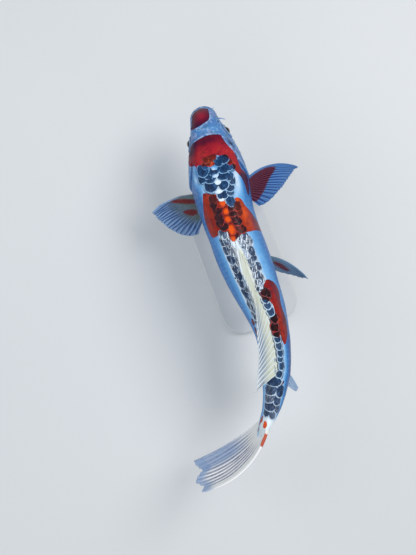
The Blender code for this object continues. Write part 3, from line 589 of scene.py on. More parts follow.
# ---------------------------------------------------------------- node helpers
class Shade:
    """A material's node tree, built from short calls."""

    def __init__(self, name, **principled):
        self.material = bpy.data.materials.new(name)
        self.material.use_nodes = True
        self.tree = self.material.node_tree
        self.out = self.tree.nodes["Material Output"]
        self.bsdf = self.tree.nodes["Principled BSDF"]
        for key, value in principled.items():
            self.bsdf.inputs[key.replace("_", " ")].default_value = value

    def node(self, kind, **settings):
        n = self.tree.nodes.new(kind)
        for key, value in settings.items():
            setattr(n, key, value)
        return n

    def feed(self, socket, value):
        if isinstance(value, bpy.types.NodeSocket):
            self.tree.links.new(value, socket)
        elif value is not None:
            socket.default_value = value

    def attr(self, name):
        return self.node("ShaderNodeAttribute", attribute_name=name).outputs["Fac"]

    def position(self):
        return self.node("ShaderNodeTexCoord").outputs["Object"]

    def math(self, op, a, b=0.0, c=0.0, clamp=False):
        n = self.node("ShaderNodeMath", operation=op, use_clamp=clamp)
        self.feed(n.inputs[0], a)
        self.feed(n.inputs[1], b)
        if op in ("MULTIPLY_ADD", "SMOOTH_MIN", "SMOOTH_MAX", "COMPARE", "WRAP"):
            self.feed(n.inputs[2], c)
        return n.outputs[0]

    def step(self, value, lo, hi, to_lo=0.0, to_hi=1.0):
        n = self.node("ShaderNodeMapRange", interpolation_type="SMOOTHSTEP", clamp=True)
        for i, v in enumerate((value, lo, hi, to_lo, to_hi)):
            self.feed(n.inputs[i], v)
        return n.outputs[0]

    def noise(self, scale, detail=3.0, rough=0.5, vector=None, distortion=0.0):
        n = self.node("ShaderNodeTexNoise")
        n.inputs["Scale"].default_value = scale
        n.inputs["Detail"].default_value = detail
        n.inputs["Roughness"].default_value = rough
        n.inputs["Distortion"].default_value = distortion
        self.feed(n.inputs["Vector"], vector if vector is not None else self.position())
        return n.outputs["Fac"]

    def voronoi(self, scale, feature="DISTANCE_TO_EDGE", vector=None):
        n = self.node("ShaderNodeTexVoronoi", feature=feature)
        n.inputs["Scale"].default_value = scale
        self.feed(n.inputs["Vector"], vector if vector is not None else self.position())
        return n.outputs["Distance"]

    def mix(self, factor, a, b, blend="MIX"):
        n = self.node("ShaderNodeMix", data_type="RGBA", blend_type=blend, clamp_factor=True)
        self.feed(n.inputs[0], factor)
        self.feed(n.inputs[6], a)
        self.feed(n.inputs[7], b)
        return n.outputs[2]

    def ramp(self, value, stops):
        n = self.node("ShaderNodeValToRGB")
        while len(n.color_ramp.elements) < len(stops):
            n.color_ramp.elements.new(0.5)
        for e, (at_, colour) in zip(n.color_ramp.elements, stops):
            e.position, e.color = at_, colour
        self.feed(n.inputs[0], value)
        return n.outputs[0]

    def mix_value(self, factor, a, b):
        """A number between a and b."""
        return self.math("ADD", a, self.math("MULTIPLY", factor, b - a))

    def bump(self, height, distance, strength=1.0, normal=None):
        n = self.node("ShaderNodeBump")
        n.inputs["Strength"].default_value = strength
        n.inputs["Distance"].default_value = distance
        self.feed(n.inputs["Height"], height)
        if normal is not None:
            self.feed(n.inputs["Normal"], normal)
        return n.outputs[0]

    def set(self, **links):
        for key, value in links.items():
            self.feed(self.bsdf.inputs[key.replace("_", " ")], value)
        return self.material


def koi_colour(m):
    """The body's colour, shared by the skin and the scales: returns colour, share of red and a fine noise."""
    fine = m.noise(420.0, 4.0, 0.6)
    mid = m.noise(95.0, 3.0, 0.55)
    broad = m.noise(22.0, 2.0, 0.5)
    tone_and_shade = m.math("ADD", m.attr("tone_and_shade"), m.math("MULTIPLY", m.math("SUBTRACT", broad, 0.5), 0.22))
    tone_and_shade = m.math("ADD", tone_and_shade, m.math("MULTIPLY", m.math("SUBTRACT", mid, 0.5), 0.16))
    # painted light: low values give the deep blue of painted shade and painted blue reflected light on the flanks
    pale = m.ramp(tone_and_shade, ((0.0, srgb(0, 60, 134)), (0.30, srgb(26, 110, 180)), (0.62, srgb(110, 174, 228)),
                         (1.0, srgb(230, 240, 247))))
    # the head is marbled: grey, lilac and pale blue clouds
    marble = m.attr("marble")
    pale = m.mix(m.math("MULTIPLY", marble, 0.34), pale, srgb(112, 142, 186))
    cloud = m.noise(60.0, 3.0, 0.58, distortion=1.2)
    pale = m.mix(m.math("MULTIPLY", m.step(cloud, 0.45, 0.62), m.math("MULTIPLY", marble, 0.76)), pale, srgb(70, 106, 142))
    lilac = m.noise(58.0, 4.0, 0.62, distortion=1.3)
    pale = m.mix(m.math("MULTIPLY", m.step(lilac, 0.50, 0.66), m.math("MULTIPLY", marble, 0.56)), pale, srgb(136, 142, 192))
    wisp = m.noise(84.0, 4.0, 0.60, distortion=2.0)
    pale = m.mix(m.math("MULTIPLY", m.step(wisp, 0.53, 0.68), m.math("MULTIPLY", marble, 0.56)), pale, srgb(152, 190, 220))
    fringe = m.math("MULTIPLY", m.step(m.attr("red"), -3.4, -0.6), m.step(wisp, 0.44, 0.60))
    pale = m.mix(m.math("MULTIPLY", fringe, m.math("MULTIPLY", marble, 0.50)), pale, srgb(190, 208, 236))
    cream = m.step(m.math("ADD", m.attr("cream"), m.math("MULTIPLY", m.math("SUBTRACT", mid, 0.5), 0.5)), 0.15, 0.85)
    pale = m.mix(cream, pale, m.mix(m.step(m.noise(60.0, 3.0), 0.35, 0.65), srgb(204, 208, 190), srgb(226, 229, 222)))
    # guanine flecks: tiny brighter and greyer points in the white
    fleck = m.step(fine, 0.60, 0.74)
    pale = m.mix(m.math("MULTIPLY", fleck, 0.22), pale, srgb(214, 230, 246))
    grey = m.step(m.noise(160.0, 3.0, 0.6), 0.60, 0.80)
    pale = m.mix(m.math("MULTIPLY", grey, 0.30), pale, srgb(58, 92, 142))
    # red, its edge a little ragged
    wander = m.math("MULTIPLY", m.math("SUBTRACT", m.noise(260.0, 3.0, 0.6), 0.5), 1.6)
    depth = m.math("ADD", m.attr("red"), wander)
    red = m.step(depth, -0.35, 0.45)
    hue_and_shade = m.math("ADD", m.attr("hue_and_shade"), m.math("MULTIPLY", m.math("SUBTRACT", mid, 0.5), 0.34))
    hue_and_shade = m.math("ADD", hue_and_shade, m.math("MULTIPLY", m.math("SUBTRACT", broad, 0.5), 0.26))
    hue_and_shade = m.math("SUBTRACT", hue_and_shade, m.step(depth, 2.4, 0.0, 0.0, 0.16))
    hi = m.ramp(hue_and_shade, ((0.0, srgb(54, 2, 48)), (0.13, srgb(92, 5, 42)), (0.26, srgb(112, 12, 32)), (0.44, srgb(146, 24, 26)),
                      (0.60, srgb(146, 34, 20)), (0.80, srgb(172, 52, 16)), (1.0, srgb(206, 78, 14))))
    crimson = m.mix(m.attr("nose"), srgb(178, 28, 52), srgb(158, 14, 66))
    hi = m.mix(m.math("MULTIPLY", marble, m.step(hue_and_shade, 0.06, 0.46, 0.0, 0.58)), hi, crimson)
    warm = m.step(m.math("ADD", m.attr("warm"), m.math("MULTIPLY", m.math("SUBTRACT", mid, 0.5), 0.3)), 0.15, 0.8)
    hi = m.mix(warm, hi, srgb(232, 86, 12))
    hi = m.mix(m.math("MULTIPLY", m.step(fine, 0.50, 0.74), 0.30), hi, srgb(64, 6, 18))
    hi = m.mix(m.math("MULTIPLY", m.step(mid, 0.54, 0.72), 0.22), hi, srgb(88, 14, 24))
    blots = m.step(m.noise(64.0, 4.0, 0.62, distortion=0.9), 0.48, 0.62)
    hi = m.mix(m.math("MULTIPLY", blots, m.math("SUBTRACT", 0.46, m.math("MULTIPLY", warm, 0.40))), hi, srgb(74, 10, 30))
    embers = m.step(m.noise(92.0, 4.0, 0.62, distortion=0.7), 0.54, 0.68)
    hi = m.mix(m.math("MULTIPLY", embers, m.math("MULTIPLY", m.step(hue_and_shade, 0.25, 0.6), 0.34)), hi, srgb(196, 66, 26))
    colour = m.mix(red, pale, hi)
    return colour, red, fine


def skin_material():
    m = Shade("koi_skin", Roughness=0.40, IOR=1.34, Coat_Weight=0.07, Coat_Roughness=0.16, Specular_IOR_Level=0.26)
    colour, red, fine = koi_colour(m)
    # dark pigment, and painted shade in nostrils, mouth, eye sockets and under the scales
    ink_and_shade = m.step(m.math("ADD", m.attr("ink_and_shade"), m.math("MULTIPLY", m.math("SUBTRACT", m.noise(300.0, 3.0), 0.5), 0.35)),
                 0.28, 0.62)
    dark = m.mix(red, srgb(16, 36, 66), srgb(34, 6, 16))
    colour = m.mix(m.math("MULTIPLY", ink_and_shade, 0.94), colour, dark)
    # streaked ground under the scales beside the back fin
    grain_way = m.node("ShaderNodeCombineXYZ")
    m.feed(grain_way.inputs[0], m.math("MULTIPLY", m.attr("down"), 0.10))
    m.feed(grain_way.inputs[1], m.math("MULTIPLY", m.attr("aside"), 0.62))
    strokes = m.step(m.noise(1.0, 3.0, 0.6, vector=grain_way.outputs[0], distortion=0.6), 0.50, 0.60)
    streaked = m.math("MULTIPLY", strokes, m.attr("streaks"))
    colour = m.mix(m.math("MULTIPLY", streaked, 0.85), colour, srgb(30, 38, 58))
    # the small scales of the flanks, faint and overlapping
    row_at = m.math("DIVIDE", m.attr("down"), 6.6)
    row = m.math("FLOOR", row_at)
    over = m.math("ADD", m.math("DIVIDE", m.attr("aside"), 7.4), m.math("MULTIPLY", m.math("MODULO", row, 2.0), 0.5))
    over = m.math("SUBTRACT", m.math("FRACT", over), 0.5)
    bow = m.math("SQRT", m.math("MAXIMUM", m.math("SUBTRACT", 1.0, m.math("POWER", m.math("ABSOLUTE", m.math("MULTIPLY", over, 2.0)), 2.0)), 0.0))
    edge = m.math("SUBTRACT", m.math("ADD", 0.22, m.math("MULTIPLY", bow, 0.78)), m.math("FRACT", row_at))
    patchy = m.step(m.noise(48.0, 3.0, 0.6), 0.34, 0.64, 0.35, 1.0)
    scaly = m.math("MULTIPLY", m.math("MULTIPLY", m.attr("scaly"), patchy), m.math("SUBTRACT", 1.0, m.math("MULTIPLY", red, 0.7)))
    # painted shadow just behind each small scale's edge and painted highlight just inside it
    painted_edge_shadow = m.math("MULTIPLY", m.step(m.math("ABSOLUTE", m.math("ADD", edge, 0.05)), 0.10, 0.01), scaly)
    painted_edge_highlight = m.math("MULTIPLY", m.step(m.math("ABSOLUTE", m.math("SUBTRACT", edge, 0.09)), 0.10, 0.01), scaly)
    colour = m.mix(m.math("MULTIPLY", painted_edge_shadow, m.step(m.attr("tone_and_shade"), 0.50, 0.80, 0.30, 0.55)), colour, m.mix(red, srgb(28, 76, 132), srgb(70, 12, 18)))
    colour = m.mix(m.math("MULTIPLY", painted_edge_highlight, 0.20), colour, m.mix(red, srgb(206, 228, 244), srgb(214, 84, 50)))
    plates = m.math("SUBTRACT", m.math("SUBTRACT", 1.0, edge), m.step(edge, 0.0, -0.06, 0.0, 0.75))
    plates = m.math("MULTIPLY", plates, scaly)
    # painted shade in the hollows, painted highlight on the crests
    hollow_shade_crest_light = m.attr("hollow_shade_crest_light")
    colour = m.mix(m.step(hollow_shade_crest_light, 0.06, 0.9, 0.0, 0.66), colour, m.mix(red, srgb(36, 66, 110), srgb(46, 6, 18)))
    colour = m.mix(m.step(m.math("MULTIPLY", hollow_shade_crest_light, -1.0), 0.10, 1.0, 0.0, 0.26), colour, m.mix(red, srgb(190, 216, 240), srgb(190, 60, 46)))
    colour = m.mix(m.step(m.attr("dot"), -0.35, 0.35), colour, srgb(14, 26, 44))
    colour = m.mix(m.math("MULTIPLY", m.attr("flesh"), 0.7), colour, srgb(150, 112, 138))
    grain = m.noise(900.0, 3.0, 0.6)
    pits = m.voronoi(620.0, "F1")
    height = m.math("ADD", m.math("MULTIPLY", grain, 0.6), m.math("MULTIPLY", pits, 0.5))
    rough = m.math("ADD", 0.30, m.math("MULTIPLY", m.noise(70.0, 4.0), 0.22))
    relief_ = m.bump(plates, 0.00030, 0.36)
    return m.set(Base_Color=colour, Roughness=rough, Normal=m.bump(height, 0.00012, 0.55, normal=relief_))


def scale_material():
    m = Shade("koi_scales", Roughness=0.42, IOR=1.34, Coat_Weight=0.06, Coat_Roughness=0.18, Specular_IOR_Level=0.24)
    colour, red, fine = koi_colour(m)
    rim, ink_and_shade, net, fan, along, over, chance, arc = (m.attr(k) for k in ("rim", "ink_and_shade", "net", "fan", "along", "over", "chance",
                                                                       "arc"))
    jitter = m.math("MULTIPLY", m.math("SUBTRACT", m.noise(300.0, 3.0, 0.6), 0.5), 0.34)
    # dark middle with a thin pale rim
    ragged = m.math("MULTIPLY", m.math("SUBTRACT", m.noise(120.0, 2.0, 0.5), 0.5), m.math("MULTIPLY", red, 1.3))
    wide = m.math("ADD", rim, m.math("MULTIPLY", arc, 0.09))
    core = m.step(m.math("ADD", m.math("ADD", wide, jitter), ragged), 0.97, 0.84)
    # streaks that run back over the scale: partly its own streaks, partly painted shade of its radial folds
    local = m.node("ShaderNodeCombineXYZ")
    m.feed(local.inputs[0], m.math("MULTIPLY", along, 0.6))
    m.feed(local.inputs[1], m.math("ADD", m.math("MULTIPLY", over, 2.3), m.math("MULTIPLY", along, 0.9)))
    m.feed(local.inputs[2], m.math("MULTIPLY", chance, 37.0))
    strokes = m.step(m.noise(1.35, 3.0, 0.55, vector=local.outputs[0], distortion=0.5), 0.37, 0.50)
    web = m.math("MULTIPLY", strokes, m.step(m.math("ADD", rim, jitter), 0.96, 0.84))
    shade = m.mix(net, core, web)
    worn = m.step(m.noise(130.0, 4.0, 0.65), 0.30, 0.52, m.mix_value(red, 0.82, 0.42), 1.0)
    shade = m.math("MULTIPLY", m.math("MULTIPLY", shade, worn), ink_and_shade, clamp=True)
    shade = m.math("SUBTRACT", 1.0, m.math("POWER", m.math("SUBTRACT", 1.0, shade), 2.4))
    ray_way = m.node("ShaderNodeCombineXYZ")
    m.feed(ray_way.inputs[0], m.math("MULTIPLY", fan, 9.0))
    m.feed(ray_way.inputs[1], m.math("MULTIPLY", rim, 1.1))
    m.feed(ray_way.inputs[2], m.math("MULTIPLY", chance, 31.0))
    spokes = m.noise(1.0, 3.0, 0.6, vector=ray_way.outputs[0])
    depth_of = m.math("ADD", m.math("MULTIPLY", spokes, 0.62), m.math("MULTIPLY", m.noise(170.0, 4.0, 0.6), 0.38))
    depth_of = m.math("ADD", depth_of, m.math("MULTIPLY", m.math("SUBTRACT", rim, 0.6), 0.10))
    blue_ink = m.ramp(depth_of, ((0.36, srgb(3, 26, 58)), (0.50, srgb(14, 50, 90)), (0.60, srgb(38, 80, 126)), (0.72, srgb(86, 130, 174))))
    grey_ink = m.ramp(m.noise(170.0, 4.0, 0.6), ((0.34, srgb(20, 32, 56)), (0.52, srgb(48, 66, 96)), (0.7, srgb(100, 120, 150))))
    red_ink = m.ramp(m.noise(170.0, 4.0, 0.6), ((0.32, srgb(14, 4, 20)), (0.54, srgb(44, 9, 24)), (0.76, srgb(104, 34, 20))))
    red_ink = m.mix(arc, red_ink, m.ramp(m.noise(170.0, 4.0, 0.6), ((0.34, srgb(4, 8, 18)), (0.56, srgb(22, 8, 16)), (0.74, srgb(90, 22, 14)))))
    dark = m.mix(red, m.mix(net, blue_ink, grey_ink), red_ink)
    colour = m.mix(m.math("MULTIPLY", shade, 0.99), colour, dark)
    glint = m.math("MULTIPLY", m.step(m.math("ADD", wide, jitter), 0.90, 0.99), m.math("SUBTRACT", 1.0, m.math("MULTIPLY", red, 0.90)))
    colour = m.mix(m.math("MULTIPLY", glint, 0.72), colour, m.mix(arc, srgb(92, 140, 184), srgb(184, 212, 234)))
    # painted highlight: white glints between the dark streaks of the netted scales, partly their own white
    white = m.math("MULTIPLY", m.math("MULTIPLY", net, m.math("SUBTRACT", 1.0, shade)), m.math("SUBTRACT", 1.0, red))
    colour = m.mix(m.math("MULTIPLY", white, 0.75), colour, srgb(230, 236, 244))
    rings = m.math("SINE", m.math("MULTIPLY", rim, 60.0))
    radii = m.math("SINE", m.math("MULTIPLY", fan, 40.0))
    height = m.math("ADD", m.math("MULTIPLY", rings, 0.35), m.math("MULTIPLY", radii, 0.35))
    height = m.math("ADD", height, m.math("MULTIPLY", m.noise(700.0, 3.0), 0.6))
    rough = m.math("ADD", 0.32, m.math("MULTIPLY", m.noise(200.0, 3.0), 0.22))
    return m.set(Base_Color=colour, Roughness=rough, Normal=m.bump(height, 0.00010, 0.6))


# ---------------------------------------------------------------- the skin
def hue_and_shade_at(s, c):
    """How bright the red is, from 0 (wine) to 1 (brick): partly the red's own colour, partly painted shade that darkens
    it to wine towards the sides of the head and the saddle.
    """
    h = np.where(s < 42, 0.30 * bell(np.hypot((s - 16) / 9.0, (c + 2.0) / 9.0), 1.0) + 0.06 - 0.06 * smoothstep(-12, -26, c), 0.0)
    head = smoothstep(54, 80, s) * 0.42 + 0.17 + 0.34 * bell(s - 88, 9) * bell(c + 6, 9) - 0.10 * bell(s - 57, 5) * bell(c + 6, 8)
    # painted shade: the head's red turns to wine towards its sides
    head = head - 0.38 * smoothstep(-12, -38, c) - 0.14 * smoothstep(30, 44, c)
    h = np.where((s >= 42) & (s < 126), head, h)
    # painted shade: the saddle's red turns darker towards its sides
    saddle = 0.62 + 0.14 * smoothstep(0, 20, c) - 0.26 * smoothstep(-31, -42, c) - 0.54 * smoothstep(34, 50, c)
    h = np.where((s >= 126) & (s < 215), saddle, h)
    h = np.where((s >= 215) & (s < 400), 0.45 - 0.24 * smoothstep(22, 32, c) + 0.16 * bell(s - 322, 30) * bell(c - 16, 8), h)
    h = h - 0.50 * smoothstep(104, 116, s) * smoothstep(150, 146, s) * smoothstep(31, 42, c)
    h = h - 0.30 * smoothstep(306, 312, s) * smoothstep(358, 352, s) * smoothstep(-18, -22, c)
    return np.where(s >= 400, 0.22 + 0.6 * bell(s - 476, 8), np.maximum(h, 0.0))


def tone_and_shade_at(s, c, angle):
    """How pale the white ground is, from 0 (blue flank) to 1 (white): partly its own pattern, partly painted light,
    with the blue of the flanks and their darkening towards the outline as painted shade and painted blue reflected
    light, and the paler ridge of the back as painted highlight.
    """
    a = np.degrees(np.abs(angle))
    back = np.abs(c)
    t = 0.34 + 0.0 * s
    t = t + 0.34 * smoothstep(42, 16, back) * smoothstep(92, 120, s)
    t = t + 0.20 * bell(back - 17.5, 4.5) * smoothstep(196, 206, s) * smoothstep(410, 396, s)
    # painted highlight: paler along the ridge of the nape and saddle
    t = t + 0.28 * bell(c, 7.5) * smoothstep(94, 108, s) * smoothstep(205, 196, s)
    t = t + 0.48 * bell(c + 35.5, 5.6) * smoothstep(84, 92, s) * smoothstep(126, 104, s)
    t = t - 0.17 * bell(s - 138, 28) * smoothstep(-24, -32, c) - 0.10 * smoothstep(36, 44, c) * smoothstep(84, 100, s) * smoothstep(160, 140, s)
    t = t + 0.34 * bell(s - 214, 26) * bell(c + 6.5, 5.0) + 0.34 * bell(s - 207, 10) * bell(c - 1, 6)
    t = t + 0.26 * bell(c + 22.2, 1.3) * smoothstep(198, 206, s) * smoothstep(300, 286, s)
    t = t + 0.30 * bell(s - 114, 26) * bell(c - 30, 8) + 0.42 * bell(np.hypot((s - 98.0) / 6.0, (c + 3.0) / 6.0), 1.0)
    t = t + 0.22 * smoothstep(400, 418, s) * smoothstep(22, 6, back) + 0.14 * smoothstep(462, 474, s) * smoothstep(24, 8, back)
    t = t + 0.10 * smoothstep(318, 340, s) * smoothstep(424, 404, s) * smoothstep(-8, -16, c) * smoothstep(-70, -56, c)
    t = t - 0.36 * smoothstep(12, 22, c) * smoothstep(330, 360, s) * smoothstep(470, 455, s)
    # painted shade: darker where the flank turns down towards the outline
    t = t - 0.12 * smoothstep(58, 74, a) * smoothstep(100, 86, a) * smoothstep(90, 130, s)
    t = t + 0.13 * bell(s - 250, 60) * bell(c - 34, 10) - 0.03 * smoothstep(-20, -34, c) * smoothstep(112, 130, s)
    t = t + 0.30 * smoothstep(466, 484, s)
    t = t + 0.66 * smoothstep(86, 128, a) * smoothstep(10, 60, s)
    head = smoothstep(112, 92, s)
    t = t + head * (-0.16 + 0.10 * bell(s - 43, 7) * bell(c - 3, 15) + 0.06 * smoothstep(46, 10, back) - 0.05 * smoothstep(20, 0, s) + 0.08 * bell(s - 40, 9))
    t = t + 0.10 * bell(back - 30, 8) * smoothstep(98, 112, s) * smoothstep(150, 130, s)
    return np.clip(t, 0.02, 1.0)


def cream_at(s, c):
    """The creamy white of the back fin's foot and the root of the tail."""
    foot = smoothstep(204, 222, s) * smoothstep(412, 400, s)
    wide = np.interp(s, [198, 215, 240, 270, 300, 400], [2.5, 4.0, 6.0, 5.0, 3.5, 3.0])
    left = np.interp(s, [198, 215, 240, 270, 300, 335, 400], [1.0, 1.8, 5.5, 9.0, 11.5, 15.0, 9.0])
    across = np.where(c > 0, smoothstep(wide + 2.0, wide - 1.0, c), smoothstep(left + 2.0, left - 1.0, -c))
    return np.clip(foot * across + 0.35 * smoothstep(464, 480, s), 0, 1)


def streaks_at(s, c):
    """Where the ground beside the back fin is streaked with black."""
    shift = np.interp(s, [270, 330], [0.0, 6.0])
    shift = shift - 3.6 * smoothstep(246, 226, s)
    left = smoothstep(-5.0, -8.0, c + shift) * smoothstep(-21.0, -18.0, c + np.maximum(shift, 0)) * smoothstep(188, 194, s) * smoothstep(335, 315, s)
    edge = np.interp(s, [196, 215, 250, 290], [22.0, 23.0, 19.0, 13.0])
    right = smoothstep(5.0, 7.5, c) * smoothstep(edge + 1.5, edge - 1.5, c) * smoothstep(198, 204, s) * smoothstep(292, 282, s)
    front = 0.9 * bell(s - 203, 9) * bell(c + 2, 8) + 0.55 * bell(s - 463, 6) * bell(c + 2, 9) + 0.40 * bell(s - 489, 6) * bell(c + 8, 10)
    return np.clip(left + right + front, 0, 1)


def ink_and_shade_at(s, c, side, up, p):
    """Dark colour in the skin: painted shade in the nostril pits, the mouth's slit and the ring round each eyeball,
    real specks on the cheek, and dark pigment with painted shade under and between the darkest scales.
    """
    ink_and_shade = np.zeros(np.shape(s))
    # painted shade in the nostril pits and the mouth's slit
    for ns, nc, r in NOSTRILS:
        ink_and_shade = np.maximum(ink_and_shade, 0.85 * bell(np.hypot(s - ns, np.abs(c) - nc), r * 1.5))
    m = up - MOUTH_LINE(s)
    ink_and_shade = np.maximum(ink_and_shade, 0.7 * bell(np.hypot(m, np.maximum(0, s - 16.5)), 0.8))
    for ds, dc, r, much in ((63.0, 31.0, 5.2, 0.54), (67.0, 35.4, 4.0, 0.74), (60, 28.4, 2.2, 0.52), (66.5, 31.5, 1.6, 0.75),
                            (57.5, 27, 1.4, 0.50), (71.5, 37.5, 2.4, 0.62), (27.5, 18.5, 1.2, 0.6), (12.5, 17, 0.9, 0.45)):
        ink_and_shade = np.maximum(ink_and_shade, much * bell(np.hypot(s - ds, c - dc), r))
    # painted shade where the eyeball meets its socket
    for sign in (1, -1):                                    # a dark ring where the eyeball meets its socket
        rho = np.linalg.norm(p - eye_centre(sign), axis=-1)
        ink_and_shade = np.maximum(ink_and_shade, np.where((np.sign(side) == sign) & (s < 75), 0.85 * smoothstep(10.2, 9.0, rho), 0.0))
    # dark pigment and painted shade under and between the darkest scales
    for s0, c0, half, wide, dark, streaked in SCALES:       # the skin is dark under and between the darkest scales
        if dark >= 0.5 and not streaked:
            near = (np.abs(s - s0) < 22) & (np.abs(c - c0) < 26)
            far = np.hypot((s[near] - s0) / (half + 3.0), (c[near] - c0) / (wide + 2.6))
            ink_and_shade[near] = np.maximum(ink_and_shade[near], (0.60 if 139 < s0 < 200 else 0.80) * dark * smoothstep(1.35, 0.75, far))
    return ink_and_shade


def build_skin():
    around = 224
    stations = np.concatenate([np.arange(0.12, 5.0, 0.0705) ** 2, np.arange(25.0, 124.0, 0.74),
                               np.arange(124.0, 500.5, 1.73), [501.2, 502.0]])
    angle = np.linspace(0.0, 2 * math.pi, around, endpoint=False)
    S, A = np.broadcast_arrays(stations[:, None], angle[None, :])
    base = skin(S, A)
    side, up = section(S, A)
    wrapped = np.where(A > math.pi, A - 2 * math.pi, A)
    c = round_distance(S, wrapped)
    normal = unit(np.cross(np.gradient(base, axis=0), np.roll(base, -1, 1) - np.roll(base, 1, 1)))
    d = relief(S, A, side, up, c, base)
    d = d - 0.28 * np.abs(side) * smoothstep(484.0, 502.0, S)
    d = d * smoothstep(0.0, 2.0, S) + (1 - smoothstep(0.0, 2.0, S)) * 1.4
    points = (base + normal * d[..., None]).reshape(-1, 3)
    rings = len(stations)
    i = np.arange(rings - 1)[:, None] * around
    j = np.arange(around)[None, :]
    k = (j + 1) % around
    quads = np.stack([i + j, i + around + j, i + around + k, i + k], -1).reshape(-1, 4)
    # unwrap: length along the fish against the angle round it
    length = np.concatenate([[0], np.cumsum(np.linalg.norm(np.diff(base[:, 0], axis=0), axis=1)
                                            * (1 + 0.5 * smoothstep(130, 90, stations[1:])))])
    x = 0.01 + 0.98 * length / length[-1]
    turn = lambda jj: ((jj / around + 0.5) % 1.0)
    y0 = np.broadcast_to(turn(j), (rings - 1, around))
    y1 = y0 + 1.0 / around
    xa, xb = np.broadcast_to(x[:-1, None], y0.shape), np.broadcast_to(x[1:, None], y0.shape)
    uv = np.stack([np.stack([xa, y0], -1), np.stack([xb, y0], -1), np.stack([xb, y1], -1), np.stack([xa, y1], -1)], 2)
    uv = uv.reshape(-1, 2)
    pole = len(points)
    points = np.vstack([points, skin(0.0, 0.0)[None] - spine(0.0)[1][None] * 1.4])
    faces = [tuple(q) for q in quads]
    extra_uv = []
    for q in range(around):
        faces.append((pole, q, (q + 1) % around))
        y = turn(q)
        extra_uv += [(0.002, y), (x[0], y), (x[0], y + 1.0 / around)]
    last = (rings - 1) * around
    half = around // 2
    for q in range(half):
        a, b, e, f = last + q, last + (around - q) % around, last + (around - q - 1) % around, last + q + 1
        ring_y = [turn(q), turn(q), turn(q + 1), turn(q + 1)]
        if q == 0:
            faces.append((a, e, f))
            extra_uv += [(0.995, ring_y[0]), (0.999, ring_y[2]), (0.995, ring_y[2])]
        elif q == half - 1:
            faces.append((a, b, f))
            extra_uv += [(0.995, ring_y[0]), (0.999, ring_y[0]), (0.995, ring_y[2])]
        else:
            faces.append((a, b, e, f))
            extra_uv += [(0.995, ring_y[0]), (0.999, ring_y[1]), (0.999, ring_y[2]), (0.995, ring_y[3])]
    uv = np.vstack([uv, np.array(extra_uv)])
    red, warm, dot = markings(S, c)
    # painted shade and highlight from the relief: hollows and crests against their blurred surroundings
    blur = d.copy()
    for _ in range(10):
        side_mean = (np.roll(blur, 1, 1) + np.roll(blur, -1, 1)) / 2
        long_mean = (np.vstack([blur[:1], blur[:-1]]) + np.vstack([blur[1:], blur[-1:]])) / 2
        blur = 0.2 * blur + 0.4 * side_mean + 0.4 * long_mean
    hollow_shade_crest_light = np.clip((blur - d) / 0.42, -1, 1) * smoothstep(1.0, 6.0, S)
    add = lambda arr, v: np.concatenate([np.asarray(arr, float).reshape(-1), [v]])
    m = up - MOUTH_LINE(S)
    lips = 0.30 * bell(np.abs(m) - 2.4, 1.5) * smoothstep(18.0, 12.0, S)
    flesh = lips + 0.75 * bell(m, 0.9) * smoothstep(17.5, 15.0, S)
    values = {
        "red": add(red, -12), "warm": add(warm, 0), "dot": add(dot, -3),
        "hue_and_shade": add(hue_and_shade_at(S, c), 0), "tone_and_shade": add(tone_and_shade_at(S, c, wrapped), 0.3),
        "ink_and_shade": add(ink_and_shade_at(S, c, side, up, base), 0), "flesh": add(np.clip(flesh, 0, 1), 0.2),
        "cream": add(cream_at(S, c), 0), "streaks": add(streaks_at(S, c), 0), "hollow_shade_crest_light": add(hollow_shade_crest_light, 0),
        "down": add(S, 0), "aside": add(c, 0), "marble": add(np.maximum(smoothstep(112, 84, S), 0.70 * smoothstep(-25, -33, c) * smoothstep(172, 140, S) * (1 - 0.85 * bell(c + 35.5, 5.0))), 1), "nose": add(smoothstep(44, 38, S), 1),
        "scaly": add(smoothstep(100, 112, S) * smoothstep(470, 455, S) * smoothstep(17.0, 22.0, np.abs(c))
                     * smoothstep(150.0, 128.0, np.degrees(np.abs(wrapped))), 0),
    }
    return add_mesh("koi_skin", points, faces, uv, values, skin_material()), (stations, x)
